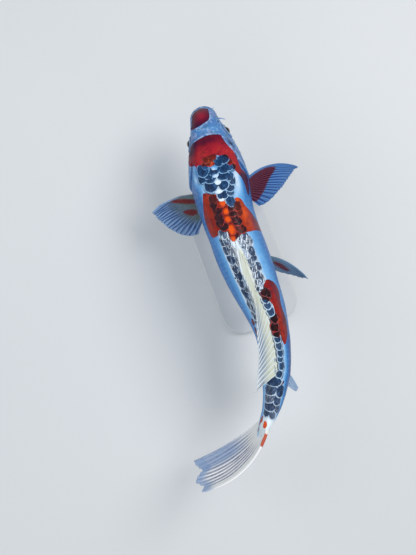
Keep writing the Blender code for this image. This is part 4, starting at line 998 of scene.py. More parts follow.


# ---------------------------------------------------------------- the scales of the back
# Scales as listed: s, place across (mm from the ridge, + to the
# right), half length and half width of what shows, how dark, how streaked.
SCALES = (
    # nape: large, dark and close, with a pale scale between them on the ridge, its paleness partly painted highlight
    (90, 13.9, 3.8, 7.0, 1.0, 0), (93.5, 6.4, 3.0, 4.4, 0.85, 0), (100.5, 20, 4.4, 5.4, 0.85, 0), (103.5, 11.8, 4.0, 5.6, 0.85, 0),
    (103.5, -3.4, 3.0, 8.4, 0.9, 0), (99.5, -18.0, 7.2, 7.4, 0.9, 0), (110.5, -21, 4.0, 6.4, 0.9, 0), (108, -11, 2.8, 7.0, 0.8, 0),
    (112, 8.5, 5.0, 7.6, 1.0, 0), (113.5, -9.7, 3.4, 7.4, 0.85, 0), (116, 17, 4.0, 5.0, 0.8, 0),
    (123.5, -10.7, 6.6, 9.0, 1.0, 0), (125, 6.4, 5.2, 6.2, 1.0, 0), (130.5, 14.5, 4.8, 4.8, 0.85, 0),
    (138, 14, 3.0, 4.0, 0.75, 0), (139.5, 2.5, 3.2, 6.6, 0.95, 0), (150, 11.0, 6.6, 5.0, 1.0, 0),
    (98.4, -0.6, 2.6, 4.2, 0.0, 0), (108.8, -1.6, 2.8, 4.6, 0.0, 0), (119, 0, 2.8, 4.8, 0.0, 0), (131.5, -1.5, 2.8, 6.6, 0.0, 0),
    (143.4, 0, 2.6, 4.4, 0.0, 0), (122, 20, 4.2, 3.4, 0.75, 0),
    # broken scales at the back of the head patch
    (82, -5, 1.6, 2.6, 0.20, 0), (86, -10, 1.8, 2.8, 0.34, 0), (87, -4, 1.6, 2.4, 0.42, 0), (91, -8, 1.6, 3.0, 0.46, 0),
    (94, -13, 2.2, 2.8, 0.48, 0), (92, -1, 1.4, 2.0, 0.20, 0), (84, 1, 1.4, 2.0, 0.22, 0),
    (102, 24, 3.4, 4.2, 0.8, 0), (95, 22, 2.4, 3.2, 0.5, 0),
    # saddle: bright on the ridge, dark beside it
    (150, -3, 5.0, 5.6, 0.0, 0), (161, 0, 4.8, 4.9, 0.0, 0), (173, 0, 4.8, 4.9, 0.0, 0), (187, 1, 8.0, 5.4, 0.0, 0),
    (199, -2, 3.6, 3.2, 0.0, 0),
    (141, -12, 5.0, 5.0, 0.55, 0), (148, -13, 5.0, 5.0, 0.95, 0), (157, -10, 4.8, 5.4, 0.9, 0),
    (165, -12, 4.6, 5.8, 0.8, 0), (173, -12, 4.6, 5.4, 0.95, 0), (181, -8, 4.8, 4.4, 1.0, 0),
    (158, 17, 7.0, 7.0, 0.55, 0), (158, 9, 4.0, 4.0, 0.8, 0), (166, 9, 4.8, 4.8, 0.75, 0), (168, 19, 5.0, 5.0, 0.45, 0),
    (174, 9, 3.8, 4.2, 0.8, 0), (180, 12, 4.8, 5.0, 1.0, 0), (192, 14, 4.4, 5.8, 0.95, 0), (188, 9, 3.8, 3.4, 0.7, 0),
    # beside the front of the back fin: grey and white, streaked
    (190, -13.6, 5.2, 5.6, 0.9, 0.9), (199, -17.6, 5.2, 4.0, 0.95, 0.7), (203, -11.4, 5.0, 3.8, 0.8, 1), (211, -16.8, 6.4, 4.6, 1.0, 0.6),
    (216, -10.2, 5.2, 3.2, 0.7, 1), (224, -15.6, 7.2, 5.2, 1.05, 0.5), (231, -9.4, 5.0, 2.8, 0.65, 1), (237, -15.2, 6.6, 4.8, 1.0, 0.7),
    (248, -14.6, 7.0, 4.8, 1.1, 0.5), (260, -15.4, 7.0, 4.2, 1.0, 0.8), (268, -12.8, 5.2, 2.8, 0.9, 0.8), (276, -16.4, 7.4, 3.4, 1.05, 0.7),
    (284, -14.2, 5.2, 2.6, 0.9, 0.8), (293, -17.0, 7.4, 3.4, 1.0, 0.8), (301, -15.8, 5.2, 2.4, 0.9, 0.8), (309, -18.2, 7.4, 3.0, 0.95, 0.7),
    (323, -19.4, 7.0, 2.6, 0.95, 0.7),
    (338, -11, 6.4, 4.2, 0.9, 0.3), (352, -10, 6.4, 4.4, 0.9, 0.3), (366, -9, 6.4, 4.6, 0.9, 0.3), (380, -8, 6.4, 4.8, 0.9, 0),
    (394, -8, 6.4, 5.2, 0.9, 0),
    (199, 6, 4.0, 3.4, 0.8, 1), (204, 16, 5.0, 4.0, 0.95, 0.9), (208, 8, 4.4, 3.8, 0.55, 1), (214, 10.5, 5.4, 4.8, 0.9, 0.9),
    (211, 20, 4.4, 3.8, 0.75, 0.9), (224, 16, 6.4, 4.6, 1.0, 0.6), (226, 9, 5.0, 3.6, 0.4, 1), (233, 16, 4.0, 4.2, 0.9, 0.5),
    (238, 10, 4.6, 4.0, 0.8, 1), (247, 10, 4.8, 4.6, 0.95, 1), (248, 18, 4.2, 3.2, 0.95, 0.6), (258, 10, 4.8, 5.0, 0.9, 1),
    (265, 15, 4.6, 4.2, 0.9, 1), (268, 8, 4.4, 3.6, 0.7, 1), (275, 6, 3.6, 4.4, 0.95, 1),
    # behind: one row of round dark scales on the right of the fin
    (282, 9, 5.0, 4.4, 1.0, 0), (287, 15, 5.6, 3.8, 1.0, 0), (293, 8, 4.2, 5.6, 0.95, 0), (302, 7, 4.4, 4.8, 0.85, 0),
    (312, 8, 5.0, 5.0, 0.9, 0), (322, 10, 6.4, 5.6, 1.1, 0), (334, 7, 6.4, 5.8, 1.2, 0), (343, 7, 4.4, 5.4, 0.95, 0),
    (351, 7, 4.8, 5.8, 0.95, 0), (361, 7, 5.4, 5.4, 0.8, 0), (371, 8, 5.4, 5.2, 0.85, 0), (380, 7, 4.0, 4.6, 0.8, 0),
    (390, 9, 5.8, 4.6, 0.85, 0), (402, 5, 4.6, 5.0, 0.95, 0),
    # wrist of the tail: broad scales that span the back
    (413, -4, 4.8, 13.6, 1.1, 0.15), (426, -7.6, 6.6, 10.6, 1.0, 0.30), (426, 9.4, 7.2, 7.0, 1.1, 0.15), (438, -8.6, 6.2, 9.6, 0.85, 0.45),
    (439, 6.4, 5.6, 6.4, 1.0, 0.2), (449.5, -6, 6.4, 11.0, 1.05, 0.2), (451, 9.6, 5.2, 5.0, 0.9, 0.3), (460, -9.6, 5.4, 7.4, 1.0, 0.2),
    (460.5, 3.0, 4.4, 5.4, 0.85, 0.4),
)


def build_scales(unwrap):
    stations, unwrap_x = unwrap
    around, shares = 30, np.array([0.22, 0.42, 0.60, 0.76, 0.88, 0.96, 1.0])
    phi = np.linspace(0.0, 2 * math.pi, around, endpoint=False)
    cp, sp = np.cos(phi), np.sin(phi)
    # round behind, blunt in front
    ox = np.where(cp > 0, cp, -np.abs(cp) ** 0.8)
    oy = np.sign(sp) * np.abs(sp) ** 0.9
    points, faces, uv = [], [], []
    values = {k: [] for k in ("red", "warm", "dot", "hue_and_shade", "tone_and_shade", "cream", "rim", "ink_and_shade", "net", "fan", "along", "over",
                              "chance", "arc")}
    rng = np.random.default_rng(41)
    plates = []
    for s0, c0, half, wide, dark, streaked in SCALES:
        nape = s0 < 140 and dark > 0.2
        twist = rng.uniform(-0.12, 0.12) + streaked * (0.24 if c0 < 0 else -0.12)
        more, broader = (2.9, 1.5) if dark > 0.2 else (1.6, 0.4)
        if s0 > 345 and s0 < 405 and c0 > 0:
            more, broader = 2.2, 0.6
        plates.append((s0 - 1.2 - 0.8 * nape, c0, half + more + 0.9 * nape, wide + broader + 0.9 * nape, dark, streaked, twist,
                       rng.uniform(0, 1)))
    plates.sort(key=lambda q: -q[0])
    for s0, c0, half, wide, dark, hatched, twist, chance in plates:
        share = np.concatenate([[0.0], np.repeat(shares, around)])
        lx = np.concatenate([[0.0], (shares[:, None] * ox[None, :]).ravel()])
        ly = np.concatenate([[0.0], (shares[:, None] * oy[None, :]).ravel()])
        uneven = np.concatenate([[1.0], np.tile(1 + 0.045 * np.sin(2 * phi + 6.3 * chance) + 0.03 * np.sin(5 * phi + 9 * chance),
                                                len(shares))])
        dx = half * (lx * math.cos(twist) - ly * wide / half * math.sin(twist)) * uneven
        dy = (wide * ly * math.cos(twist) + half * lx * math.sin(twist)) * uneven
        s, c = s0 + dx, c0 + dy
        a = angle_at(s, c)
        slope = 0.62 + 0.62 * lx                        # the rear edge stands free
        dome = (0.50 if s0 < 140 else 0.70) * (1 - share ** 2.2) - 0.35 * smoothstep(-0.4, -1.0, lx)
        fan = np.arctan2(ly, lx + 1.5)
        ridge = 0.10 * np.cos(fan * 34.0) * smoothstep(0.15, 0.75, share) * smoothstep(-0.5, 0.2, lx)
        lift = slope + dome + ridge * (1.0 + 1.2 * hatched)
        lift = lift + 0.16 * np.sin(3.1 * lx + 9 * chance) * np.cos(2.7 * ly + 5 * chance)
        top, n = surface(s, a, lift)
        low_s, low_a = s[-around:], a[-around:]
        low, _ = surface(low_s, low_a, lift[-around:] - 0.42)
        middle, _ = surface(np.array([s0]), a[:1], np.array([0.1]))
        start = len(points)
        points += list(top) + list(low) + list(middle)
        centre, rows = start, len(shares)
        ring = lambda r, q: start + 1 + r * around + q % around
        under = lambda q: start + 1 + rows * around + q % around
        heart = start + 1 + (rows + 1) * around
        # the unwrap of the skin, each scale drawn in to two thirds about its own root
        x_of = lambda v: np.interp(v, stations, unwrap_x)
        ux = x_of(s0 + 0.60 * (s - s0))
        uy = 0.5 + angle_at(s0 + 0.60 * (s - s0), c0 + 0.60 * (c - c0)) / (2 * math.pi)
        ux, uy = np.append(ux, ux[-around:]), np.append(uy, uy[-around:])
        vu = {start + q: (ux[q], uy[q]) for q in range(len(s))}
        for q in range(around):
            vu[start + len(s) + q] = (ux[len(s) - around + q], 0.03 + 0.10 * (uy[len(s) - around + q] - 0.35))
        vu[heart] = (ux[0], 0.03 + 0.10 * (uy[0] - 0.35))
        first_under = {start + 1 + (rows - 1) * around + q: vu[start + len(s) + q] for q in range(around)}
        for q in range(around):
            f = (centre, ring(0, q), ring(0, q + 1))
            faces.append(f)
            uv += [vu[w] for w in f]
            for r in range(rows - 1):
                f = (ring(r, q), ring(r + 1, q), ring(r + 1, q + 1), ring(r, q + 1))
                faces.append(f)
                uv += [vu[w] for w in f]
            f = (ring(rows - 1, q), under(q), under(q + 1), ring(rows - 1, q + 1))
            faces.append(f)
            uv += [first_under.get(w, vu[w]) for w in f]
            f = (under(q), heart, under(q + 1))
            faces.append(f)
            uv += [vu[w] for w in f]
        red, warm, dot = markings(s, c)
        # a scale takes the colour of the middle of its root, so that a patch ends on scales' edges
        centre_red = markings(np.array([s0]), np.array([c0]))[0][0]
        red = 0.35 * red + 0.65 * centre_red
        tone_and_shade = tone_and_shade_at(s, c, a) + (0.10 if s0 > 150 else 0.0)
        inkiness = dark if s0 < 290 else 0.86 * dark
        arc = 0.50 if s0 < 140 else (0.2 if s0 < 280 else (1.0 if s0 < 405 else 0.45))
        data = dict(red=red, warm=warm, dot=dot, hue_and_shade=hue_and_shade_at(s, c), tone_and_shade=tone_and_shade, cream=0.7 * cream_at(s, c), rim=share,
                    ink_and_shade=inkiness + 0 * s,
                    net=hatched + 0 * s, fan=fan, along=lx, over=ly, chance=chance + 0 * s, arc=arc + 0 * s)
        for key, v in data.items():
            v = np.broadcast_to(v, s.shape)
            values[key] += list(v) + list(v[-around:]) + [float(v[0])]
    return add_mesh("back_scales", np.array(points), faces, np.array(uv), values, scale_material())


# ---------------------------------------------------------------- the fins
def fin_material(name, ray_colour, flesh_colour, gap_colour, gap_from, web_alpha, edge_alpha, stain_colours, soft=(-0.5, 0.6),
                 ray_from=None):
    m = Shade(name, Roughness=0.46, IOR=1.34, Coat_Weight=0.06, Coat_Roughness=0.20, Specular_IOR_Level=0.30)
    ray, run, over, stain, veil_and_blue_shade, solid_ = (m.attr(k) for k in ("ray", "run", "over", "stain", "veil_and_blue_shade", "solid"))
    jitter = m.math("MULTIPLY", m.math("SUBTRACT", m.noise(420.0, 3.0, 0.6), 0.5), m.math("SUBTRACT", 0.26, m.math("MULTIPLY", veil_and_blue_shade, 0.20)))
    on_ray = m.step(m.math("ADD", ray, jitter), 0.12, 0.50)
    # joints across the rays
    joints = m.math("SINE", m.math("MULTIPLY", run, 230.0))
    ray_shade = m.mix(m.step(joints, 0.55, 1.0, 0.0, 0.16), ray_colour, srgb(160, 166, 176))
    flesh = m.mix(m.step(m.noise(70.0, 3.0), 0.3, 0.7, 0.0, 0.30), flesh_colour, ray_colour)
    gap = m.mix(m.step(m.noise(60.0, 3.0), 0.3, 0.7), gap_colour, [0.72 * q + 0.28 * r for q, r in zip(gap_colour, ray_colour)])
    web = m.mix(m.step(m.math("ADD", run, jitter), gap_from[0], gap_from[1]), flesh, gap)
    web = m.mix(solid_, web, flesh)
    colour = m.mix(m.math("MULTIPLY", on_ray, m.step(run, *(ray_from or (0.02, gap_from[0])))), web, ray_shade)
    # painted shade: the thin veil is tinted blue as where it lies in shade
    colour = m.mix(m.math("MULTIPLY", veil_and_blue_shade, 0.90), colour, srgb(114, 154, 204))
    edge = m.math("ADD", stain, m.math("MULTIPLY", m.math("SUBTRACT", m.noise(240.0, 3.0, 0.6), 0.5), 1.8))
    stained = m.step(edge, soft[0], soft[1])
    red = m.mix(m.noise(60.0, 3.0, 0.6), stain_colours[0], stain_colours[1])
    red = m.mix(m.math("MULTIPLY", on_ray, 0.25), red, stain_colours[2])
    colour = m.mix(m.math("MULTIPLY", stained, 0.94), colour, red)
    thin = m.step(run, gap_from[0], 1.0, web_alpha, edge_alpha)
    alpha = m.math("MAXIMUM", m.math("MULTIPLY", on_ray, m.step(run, 0.75, 1.0, 1.0, 0.85)), thin)
    alpha = m.math("MAXIMUM", alpha, m.math("MULTIPLY", stained, 0.97))
    alpha = m.math("MAXIMUM", alpha, m.step(run, gap_from[1], gap_from[0]))
    alpha = m.math("MAXIMUM", alpha, solid_)
    alpha = m.math("MULTIPLY", alpha, m.math("SUBTRACT", 1.0, m.math("MULTIPLY", veil_and_blue_shade, 0.36)))
    height = m.math("ADD", m.math("MULTIPLY", joints, m.math("MULTIPLY", on_ray, 0.5)), m.noise(800.0, 3.0))
    return m.set(Base_Color=colour, Alpha=alpha, Normal=m.bump(height, 0.00010, 0.6))


def branches(t, v, split, girth=1.0, taper=0.060):
    """1 on a ray and 0 off it, for a place t from the nearest ray's middle (0 to 0.5) and v along it."""
    first = 0.20 * smoothstep(split[0], 1.05, v)
    second = 0.085 * smoothstep(split[1], 1.05, v)
    width = (0.150 - taper * v) * girth
    out = bell(np.abs(t) - first - second, width)
    out = np.maximum(out, bell(np.abs(np.abs(t) - first) - second, width))
    return np.where(v < split[0], bell(t, width), out)


def fin_piece(name, shape, ray_count, per_ray, along, material, root, tip, ray_high, pleat, ragged, split=(0.40, 0.72),
              stains=(), solid_to=0.16, torn=None, veil_and_blue_shade=None, lead=1.0, wave=(0.0, 1.0, 0.0), girth=1.0, bulk=None, prow=0.0, taper=0.060,
              uneven=0.035, sweep=None):
    """A fin as one closed mesh: raised, branching rays with thin skin between them."""
    columns = (ray_count - 1) * per_ray + 1
    u = np.linspace(0.0, 1.0, columns)
    v = np.linspace(0.0, 1.0, along)
    phase = u * (ray_count - 1)
    nearest = np.clip(np.round(phase), 0, ray_count - 1)
    t = phase - nearest
    chance = np.interp(phase, np.arange(ray_count), hashed(np.arange(ray_count), 7, 3, 91))
    reach = 1.0 - uneven * chance - ragged * (1 - branches(t, np.full(columns, 0.99), split, girth, taper)) * (0.5 + 0.5 * chance)
    if torn is not None:
        reach = reach * torn(u, t)
    fine_v = np.linspace(0.0, 1.0, 3 * along)
    fine = shape(u, fine_v)
    place = v[None, :] * reach[:, None]
    across = u[:, None] + 0 * place if sweep is None else np.clip(sweep(u[:, None], place), 0, 1)
    idx = np.clip(place * (len(fine_v) - 1), 0, len(fine_v) - 1.001)
    lo = idx.astype(int)
    f = (idx - lo)[..., None]
    col = np.clip(across * (columns - 1), 0, columns - 1.001)
    near = col.astype(int)
    g = (col - near)[..., None]
    grid = ((fine[near, lo] * (1 - f) + fine[near, lo + 1] * f) * (1 - g)
            + (fine[near + 1, lo] * (1 - f) + fine[near + 1, lo + 1] * f) * g)
    U, V = np.broadcast_arrays(u[:, None], place)
    T = np.broadcast_to(t[:, None], V.shape)
    ray = branches(T, V, split, girth, taper)
    edge_ray = np.maximum(bell(U * (ray_count - 1), 0.55), 0)
    ray = np.maximum(ray, edge_ray)
    normal = unit(np.cross(np.gradient(grid, axis=0), np.gradient(grid, axis=1)))
    mid = pleat * np.cos(2 * math.pi * phase)[:, None] * smoothstep(0.05, 0.5, V)
    mid = mid + wave[0] * np.sin(2 * math.pi * (wave[1] * U + wave[2])) * V ** 1.6
    mid = mid + 0.35 * value_noise(grid, 14.0, 11) * V
    grid = grid + normal * mid[..., None]
    normal = unit(np.cross(np.gradient(grid, axis=0), np.gradient(grid, axis=1)))
    web = (root + (tip - root) * V ** 0.55) / 2
    thick = web + ray_high * ray * (1 - 0.72 * V) * (1 + (lead - 1) * edge_ray)
    if bulk is not None:
        thick = thick + bulk(U, V)
    thick = thick * (1 - 0.75 * smoothstep(0.965, 1.0, np.broadcast_to(v[None, :], V.shape)))
    thick = thick * (1 - prow * smoothstep(0.07, 0.0, U))
    top, low = grid + normal * thick[..., None], grid - normal * thick[..., None]
    points = np.vstack([top.reshape(-1, 3), low.reshape(-1, 3)])
    base = np.arange(columns - 1)[:, None] * along + np.arange(along - 1)[None, :]
    a, b, c_, d_ = base, base + along, base + along + 1, base + 1
    up_faces = np.stack([a, b, c_, d_], -1).reshape(-1, 4)
    shift = columns * along
    low_faces = np.stack([a + shift, d_ + shift, c_ + shift, b + shift], -1).reshape(-1, 4)
    uv_at = lambda q, part: np.stack([0.01 + 0.98 * (q // along) / (columns - 1),
                                      (0.01 if part else 0.51) + 0.48 * (q % along) / (along - 1)], -1)
    uv = np.vstack([uv_at(up_faces.reshape(-1), 0), uv_at(low_faces.reshape(-1) - shift, 1)])
    rim = ([(i, 0) for i in range(columns)] + [(columns - 1, j) for j in range(1, along)]
           + [(i, along - 1) for i in range(columns - 2, -1, -1)] + [(0, j) for j in range(along - 2, 0, -1)])
    rim = np.array([i * along + j for i, j in rim])
    nxt = np.roll(rim, -1)
    side = np.stack([nxt, rim, rim + shift, nxt + shift], -1)
    side_uv = uv_at(np.stack([nxt, rim, rim, nxt], -1).reshape(-1), 0)
    faces = np.vstack([up_faces, low_faces, side])
    uv = np.vstack([uv, side_uv])
    stain = np.full(V.shape, -20.0)
    for outline, size in stains:
        q = rounded(outline, 2) * size
        stain = np.maximum(stain, line_distance(across * size[0], V * size[1], q, closed=True))
    veil_and_blue_shade_values = np.zeros(V.shape) if veil_and_blue_shade is None else veil_and_blue_shade(U, V)
    solid_ = solid_to(U, V) if callable(solid_to) else smoothstep(solid_to + 0.10, solid_to - 0.08, V)
    both = lambda x: np.concatenate([np.asarray(x, float).reshape(-1)] * 2)
    values = dict(ray=both(ray), run=both(V), over=both(U), stain=both(stain), veil_and_blue_shade=both(veil_and_blue_shade_values), solid=both(solid_))
    return add_mesh(name, points, faces, uv, values, material)


def tail_sheet(w, v):
    """Both lobes as one sheet: w from 0, the lower edge, to 1, the upper edge."""
    w = np.asarray(w, float) * 2 - 1
    low, high = tail_lobe("tail_fin_lower", np.abs(w), v), tail_lobe("tail_fin_upper", np.abs(w), v)
    return np.where((w < 0)[:, None, None], low, high)


def long_tail(w, v):
    """The tail sheet with its thin hind margin drawn out, most of all in the fork."""
    w, v = np.asarray(w, float), np.asarray(v, float)
    w = np.where(w > 0.5, 0.5 + 0.5 * np.clip(2 * w - 1, 0, 1) ** 1.3, w)       # the rays stand wider apart at the upper edge
    grow = 1.0 + 0.22 * bell(w - 0.55, 0.17) + 0.09 * smoothstep(0.6, 1.0, w) + 0.03 * smoothstep(0.4, 0.0, w)
    far = np.linspace(0.0, 1.4, 141)
    grid = tail_sheet(w, far)
    at_v = np.clip(v[None, :] * grow[:, None] / 1.4 * 140, 0, 139.999)
    lo = at_v.astype(int)
    f = (at_v - lo)[..., None]
    rows = np.arange(len(w))[:, None]
    return grid[rows, lo] * (1 - f) + grid[rows, lo + 1] * f


def folded_dorsal(u, v):
    """The back fin with its first rays folded close over the ridge, and its foot a little to the right of it."""
    u, v = np.asarray(u, float), np.asarray(v, float)
    grid = dorsal_fin(u, v)
    _, _, right, _ = spine(np.interp(u, [0, 1], DORSAL["s"]))
    reach = np.einsum("ijk,ik->ij", grid - grid[:, :1], right)
    shift = -0.52 * reach * smoothstep(0.54, 0.26, u)[:, None]
    shift = shift + (3.6 * smoothstep(0.22, 0.45, u))[:, None] * ((1 - v) ** 1.4)[None, :]
    shift = shift - (5.5 * bell(u - 0.60, 0.19))[:, None] * (v ** 1.3)[None, :]
    return grid + shift[..., None] * right[:, None, :]


STAIN = (srgb(90, 18, 32), srgb(136, 36, 36), srgb(170, 70, 60))
WINE = (srgb(54, 4, 26), srgb(98, 12, 34), srgb(140, 50, 60))


def build_fins():
    pieces = []
    # painted light: the fins' blue gap colours stand for the blue light seen through their thin skin
    paired = fin_material("koi_fin_paired", srgb(134, 166, 206), srgb(98, 108, 98), srgb(30, 72, 132), (0.40, 0.80),
                          0.95, 0.80, STAIN, soft=(-2.0, 1.5), ray_from=(0.22, 0.72))
    blue = fin_material("koi_fin_blue", srgb(74, 126, 186), srgb(56, 92, 122), srgb(2, 60, 140), (0.16, 0.62),
                        0.95, 0.80, WINE, soft=(-2.0, 1.5))
    faint = fin_material("koi_fin_faint", srgb(150, 176, 206), srgb(120, 148, 180), srgb(96, 134, 182), (0.20, 0.60),
                         0.66, 0.40, STAIN)
    dusk = fin_material("koi_fin_dusk", srgb(104, 138, 172), srgb(76, 100, 108), srgb(34, 78, 128), (0.30, 0.80),
                        0.95, 0.80, WINE, soft=(-2.6, 2.2), ray_from=(0.12, 0.60))
    left = (((0.36, 0.06), (0.14, 0.26), (0.035, 0.52), (0.06, 0.60), (0.18, 0.45), (0.33, 0.29), (0.50, 0.12)), (60, 70))
    spot = (((0.69, 0.26), (0.53, 0.32), (0.42, 0.45), (0.43, 0.52), (0.56, 0.48), (0.69, 0.44), (0.78, 0.34)), (60, 70))
    right = (((0.08, 0.05), (0.06, 0.27), (0.05, 0.40), (0.05, 0.50), (0.08, 0.60), (0.19, 0.64), (0.30, 0.61),
              (0.47, 0.56), (0.63, 0.57), (0.76, 0.60), (0.86, 0.62), (0.97, 0.70), (1.02, 0.60), (1.02, 0.20), (0.6, 0.05)), (60, 78))
    pelvic = (((0.36, 0.30), (0.24, 0.42), (0.38, 0.58), (0.48, 0.69), (0.68, 0.72), (0.66, 0.57), (0.54, 0.40)), (22, 90))

    def swept(u, v):
        """The left pectoral's rays lean towards its leading edge and ripple a little."""
        return u * (1 - 0.06 * v ** 1.3) - 0.13 * np.sin(math.pi * u) * v ** 1.3 + 0.009 * np.sin(2 * math.pi * (2.2 * v + 4 * u)) * v
    pieces.append((fin_piece("pectoral_fin_left_rays", lambda u, v: paired_fin("pectoral_fin_left", u, v), 17, 12, 56,
                             paired, 2.6, 0.5, 0.75, 0.55, 0.026, stains=(left, spot), lead=1.5, wave=(1.6, 1.3, 0.1), sweep=swept,
                             uneven=0.02),
                   ("pectoral_fin_left",)))
    pieces.append((fin_piece("pectoral_fin_right_rays", lambda u, v: paired_fin("pectoral_fin_right", u, v), 17, 12, 60,
                             blue, 2.6, 0.5, 0.75, 0.55, 0.022, stains=(right,), lead=1.5, wave=(1.8, 1.2, 0.4), uneven=0.015),
                   ("pectoral_fin_right",)))
    pieces.append((fin_piece("pelvic_fin_left_rays", lambda u, v: paired_fin("pelvic_fin_left", u, v), 9, 12, 50,
                             blue, 2.6, 0.5, 0.70, 0.5, 0.055, lead=1.4, wave=(1.2, 1.0, 0.2)), ("pelvic_fin_left",)))
    pieces.append((fin_piece("pelvic_fin_right_rays", lambda u, v: paired_fin("pelvic_fin_right", u, v), 9, 12, 56,
                             dusk, 2.6, 0.5, 0.70, 0.5, 0.055, stains=(pelvic,), lead=1.4, wave=(1.2, 1.0, 0.6)),
                   ("pelvic_fin_right",)))
    # painted light: the blue-grey gap colour stands for the blue light seen through the thin skin
    back = fin_material("koi_fin_dorsal", srgb(216, 223, 228), srgb(200, 204, 184), srgb(112, 136, 168), (0.30, 0.84),
                        0.94, 0.78, STAIN)

    def front_half(u, v):
        return np.maximum(smoothstep(0.44, 0.28, u) * smoothstep(0.98, 0.86, v), smoothstep(0.20, 0.08, v))

    def frayed(u, t):
        last = smoothstep(0.80, 0.97, u)
        return 1 - (0.10 + 0.30 * last) * (smoothstep(0.30, 0.48, np.abs(t))) * (0.3 + 0.7 * last)
    dorsal = fin_piece("dorsal_fin_rays", folded_dorsal, 22, 12, 44, back, 2.8, 0.55, 0.85, 0.60, 0.05,
                       solid_to=front_half, torn=frayed, lead=1.2, wave=(1.4, 2.3, 0.3), girth=1.12, prow=0.92,
                       bulk=lambda u, v: 2.3 * smoothstep(0.46, 0.16, u) * smoothstep(0.95, 0.25, v) * smoothstep(0.0, 0.10, u))
    pieces.append((dorsal, ("dorsal_fin",)))
    pieces.append((fin_piece("anal_fin_rays", anal_fin, 8, 12, 44, faint, 2.6, 0.5, 0.70, 0.5, 0.03, lead=1.5, girth=1.2,
                             torn=lambda u, t: 1 - 0.50 * smoothstep(0.15, 0.75, u), wave=(1.0, 1.0, 0.0)), ("anal_fin",)))
    # painted light: the blue-grey gap colour stands for the blue light seen through the thin skin
    stern = fin_material("koi_fin_tail", srgb(238, 238, 240), srgb(230, 230, 220), srgb(116, 120, 148), (0.14, 0.38),
                         0.95, 0.84, (srgb(122, 20, 2), srgb(214, 66, 4), srgb(214, 88, 20)))
    mark = (((1.004, 0.068), (0.986, 0.09), (0.964, 0.12), (0.949, 0.15), (0.957, 0.175), (0.980, 0.20), (1.004, 0.225), (1.03, 0.19), (1.03, 0.10)),
            (90, 110))

    # the tail's thin lower lobe and margin: more see-through, and tinted blue as painted shade
    def veil_and_blue_shade(u, v):
        lower = smoothstep(0.50, 0.22, u) * smoothstep(0.24, 0.60, v)
        margin = smoothstep(0.84, 0.97, v)
        return np.clip(0.76 * lower + 0.84 * margin, 0, 1)

    def ragged_tail(u, t):
        return 1 - 0.004 * smoothstep(0.25, 0.48, np.abs(t))

    def rear_root(u, v):
        return np.maximum(smoothstep(0.26, 0.10, v), 0.95 * smoothstep(0.86, 0.94, u) * smoothstep(0.99, 0.90, v))
    tail = fin_piece("tail_fin_rays", long_tail, 12, 20, 72, stern, 3.4, 0.45, 1.05, 1.10, 0.004, split=(0.96, 1.20), girth=1.85, taper=0.0,
                     uneven=0.0,
                     stains=(mark,), solid_to=rear_root, torn=ragged_tail, veil_and_blue_shade=veil_and_blue_shade, lead=1.5, wave=(2.2, 1.6, 0.15))
    pieces.append((tail, ("tail_fin_upper", "tail_fin_lower")))
    return pieces


# ---------------------------------------------------------------- eyes and barbels
def eye_material():
    m = Shade("koi_eye", Roughness=0.12, IOR=1.376, Coat_Weight=1.0, Coat_Roughness=0.02)
    out, turn = m.attr("out"), m.attr("turn")
    wobble = m.math("MULTIPLY", m.math("SUBTRACT", m.noise(700.0, 4.0, 0.6), 0.5), 0.10)
    r = m.math("ADD", out, wobble)
    spokes = m.math("MULTIPLY", m.math("SINE", m.math("MULTIPLY", turn, 46.0)), 0.5)
    iris = m.ramp(m.math("ADD", m.noise(900.0, 4.0, 0.65), m.math("MULTIPLY", spokes, 0.12)),
                  ((0.30, srgb(12, 16, 26)), (0.52, srgb(48, 54, 64)), (0.72, srgb(128, 124, 108))))
    upper = m.step(m.attr("high"), -0.2, 0.7)
    iris = m.mix(m.math("MULTIPLY", upper, 0.92), iris, srgb(4, 8, 22))
    colour = m.mix(m.step(r, 0.40, 0.44), srgb(150, 122, 66), iris)
    colour = m.mix(m.step(out, 0.350, 0.375), srgb(2, 2, 3), colour)
    colour = m.mix(m.step(r, 0.82, 1.00), colour, srgb(5, 9, 22))
    metal = m.math("MULTIPLY", m.step(out, 0.36, 0.42), 0.35)
    return m.set(Base_Color=colour, Metallic=metal, Normal=m.bump(m.noise(1200.0, 2.0), 0.00004, 0.3))


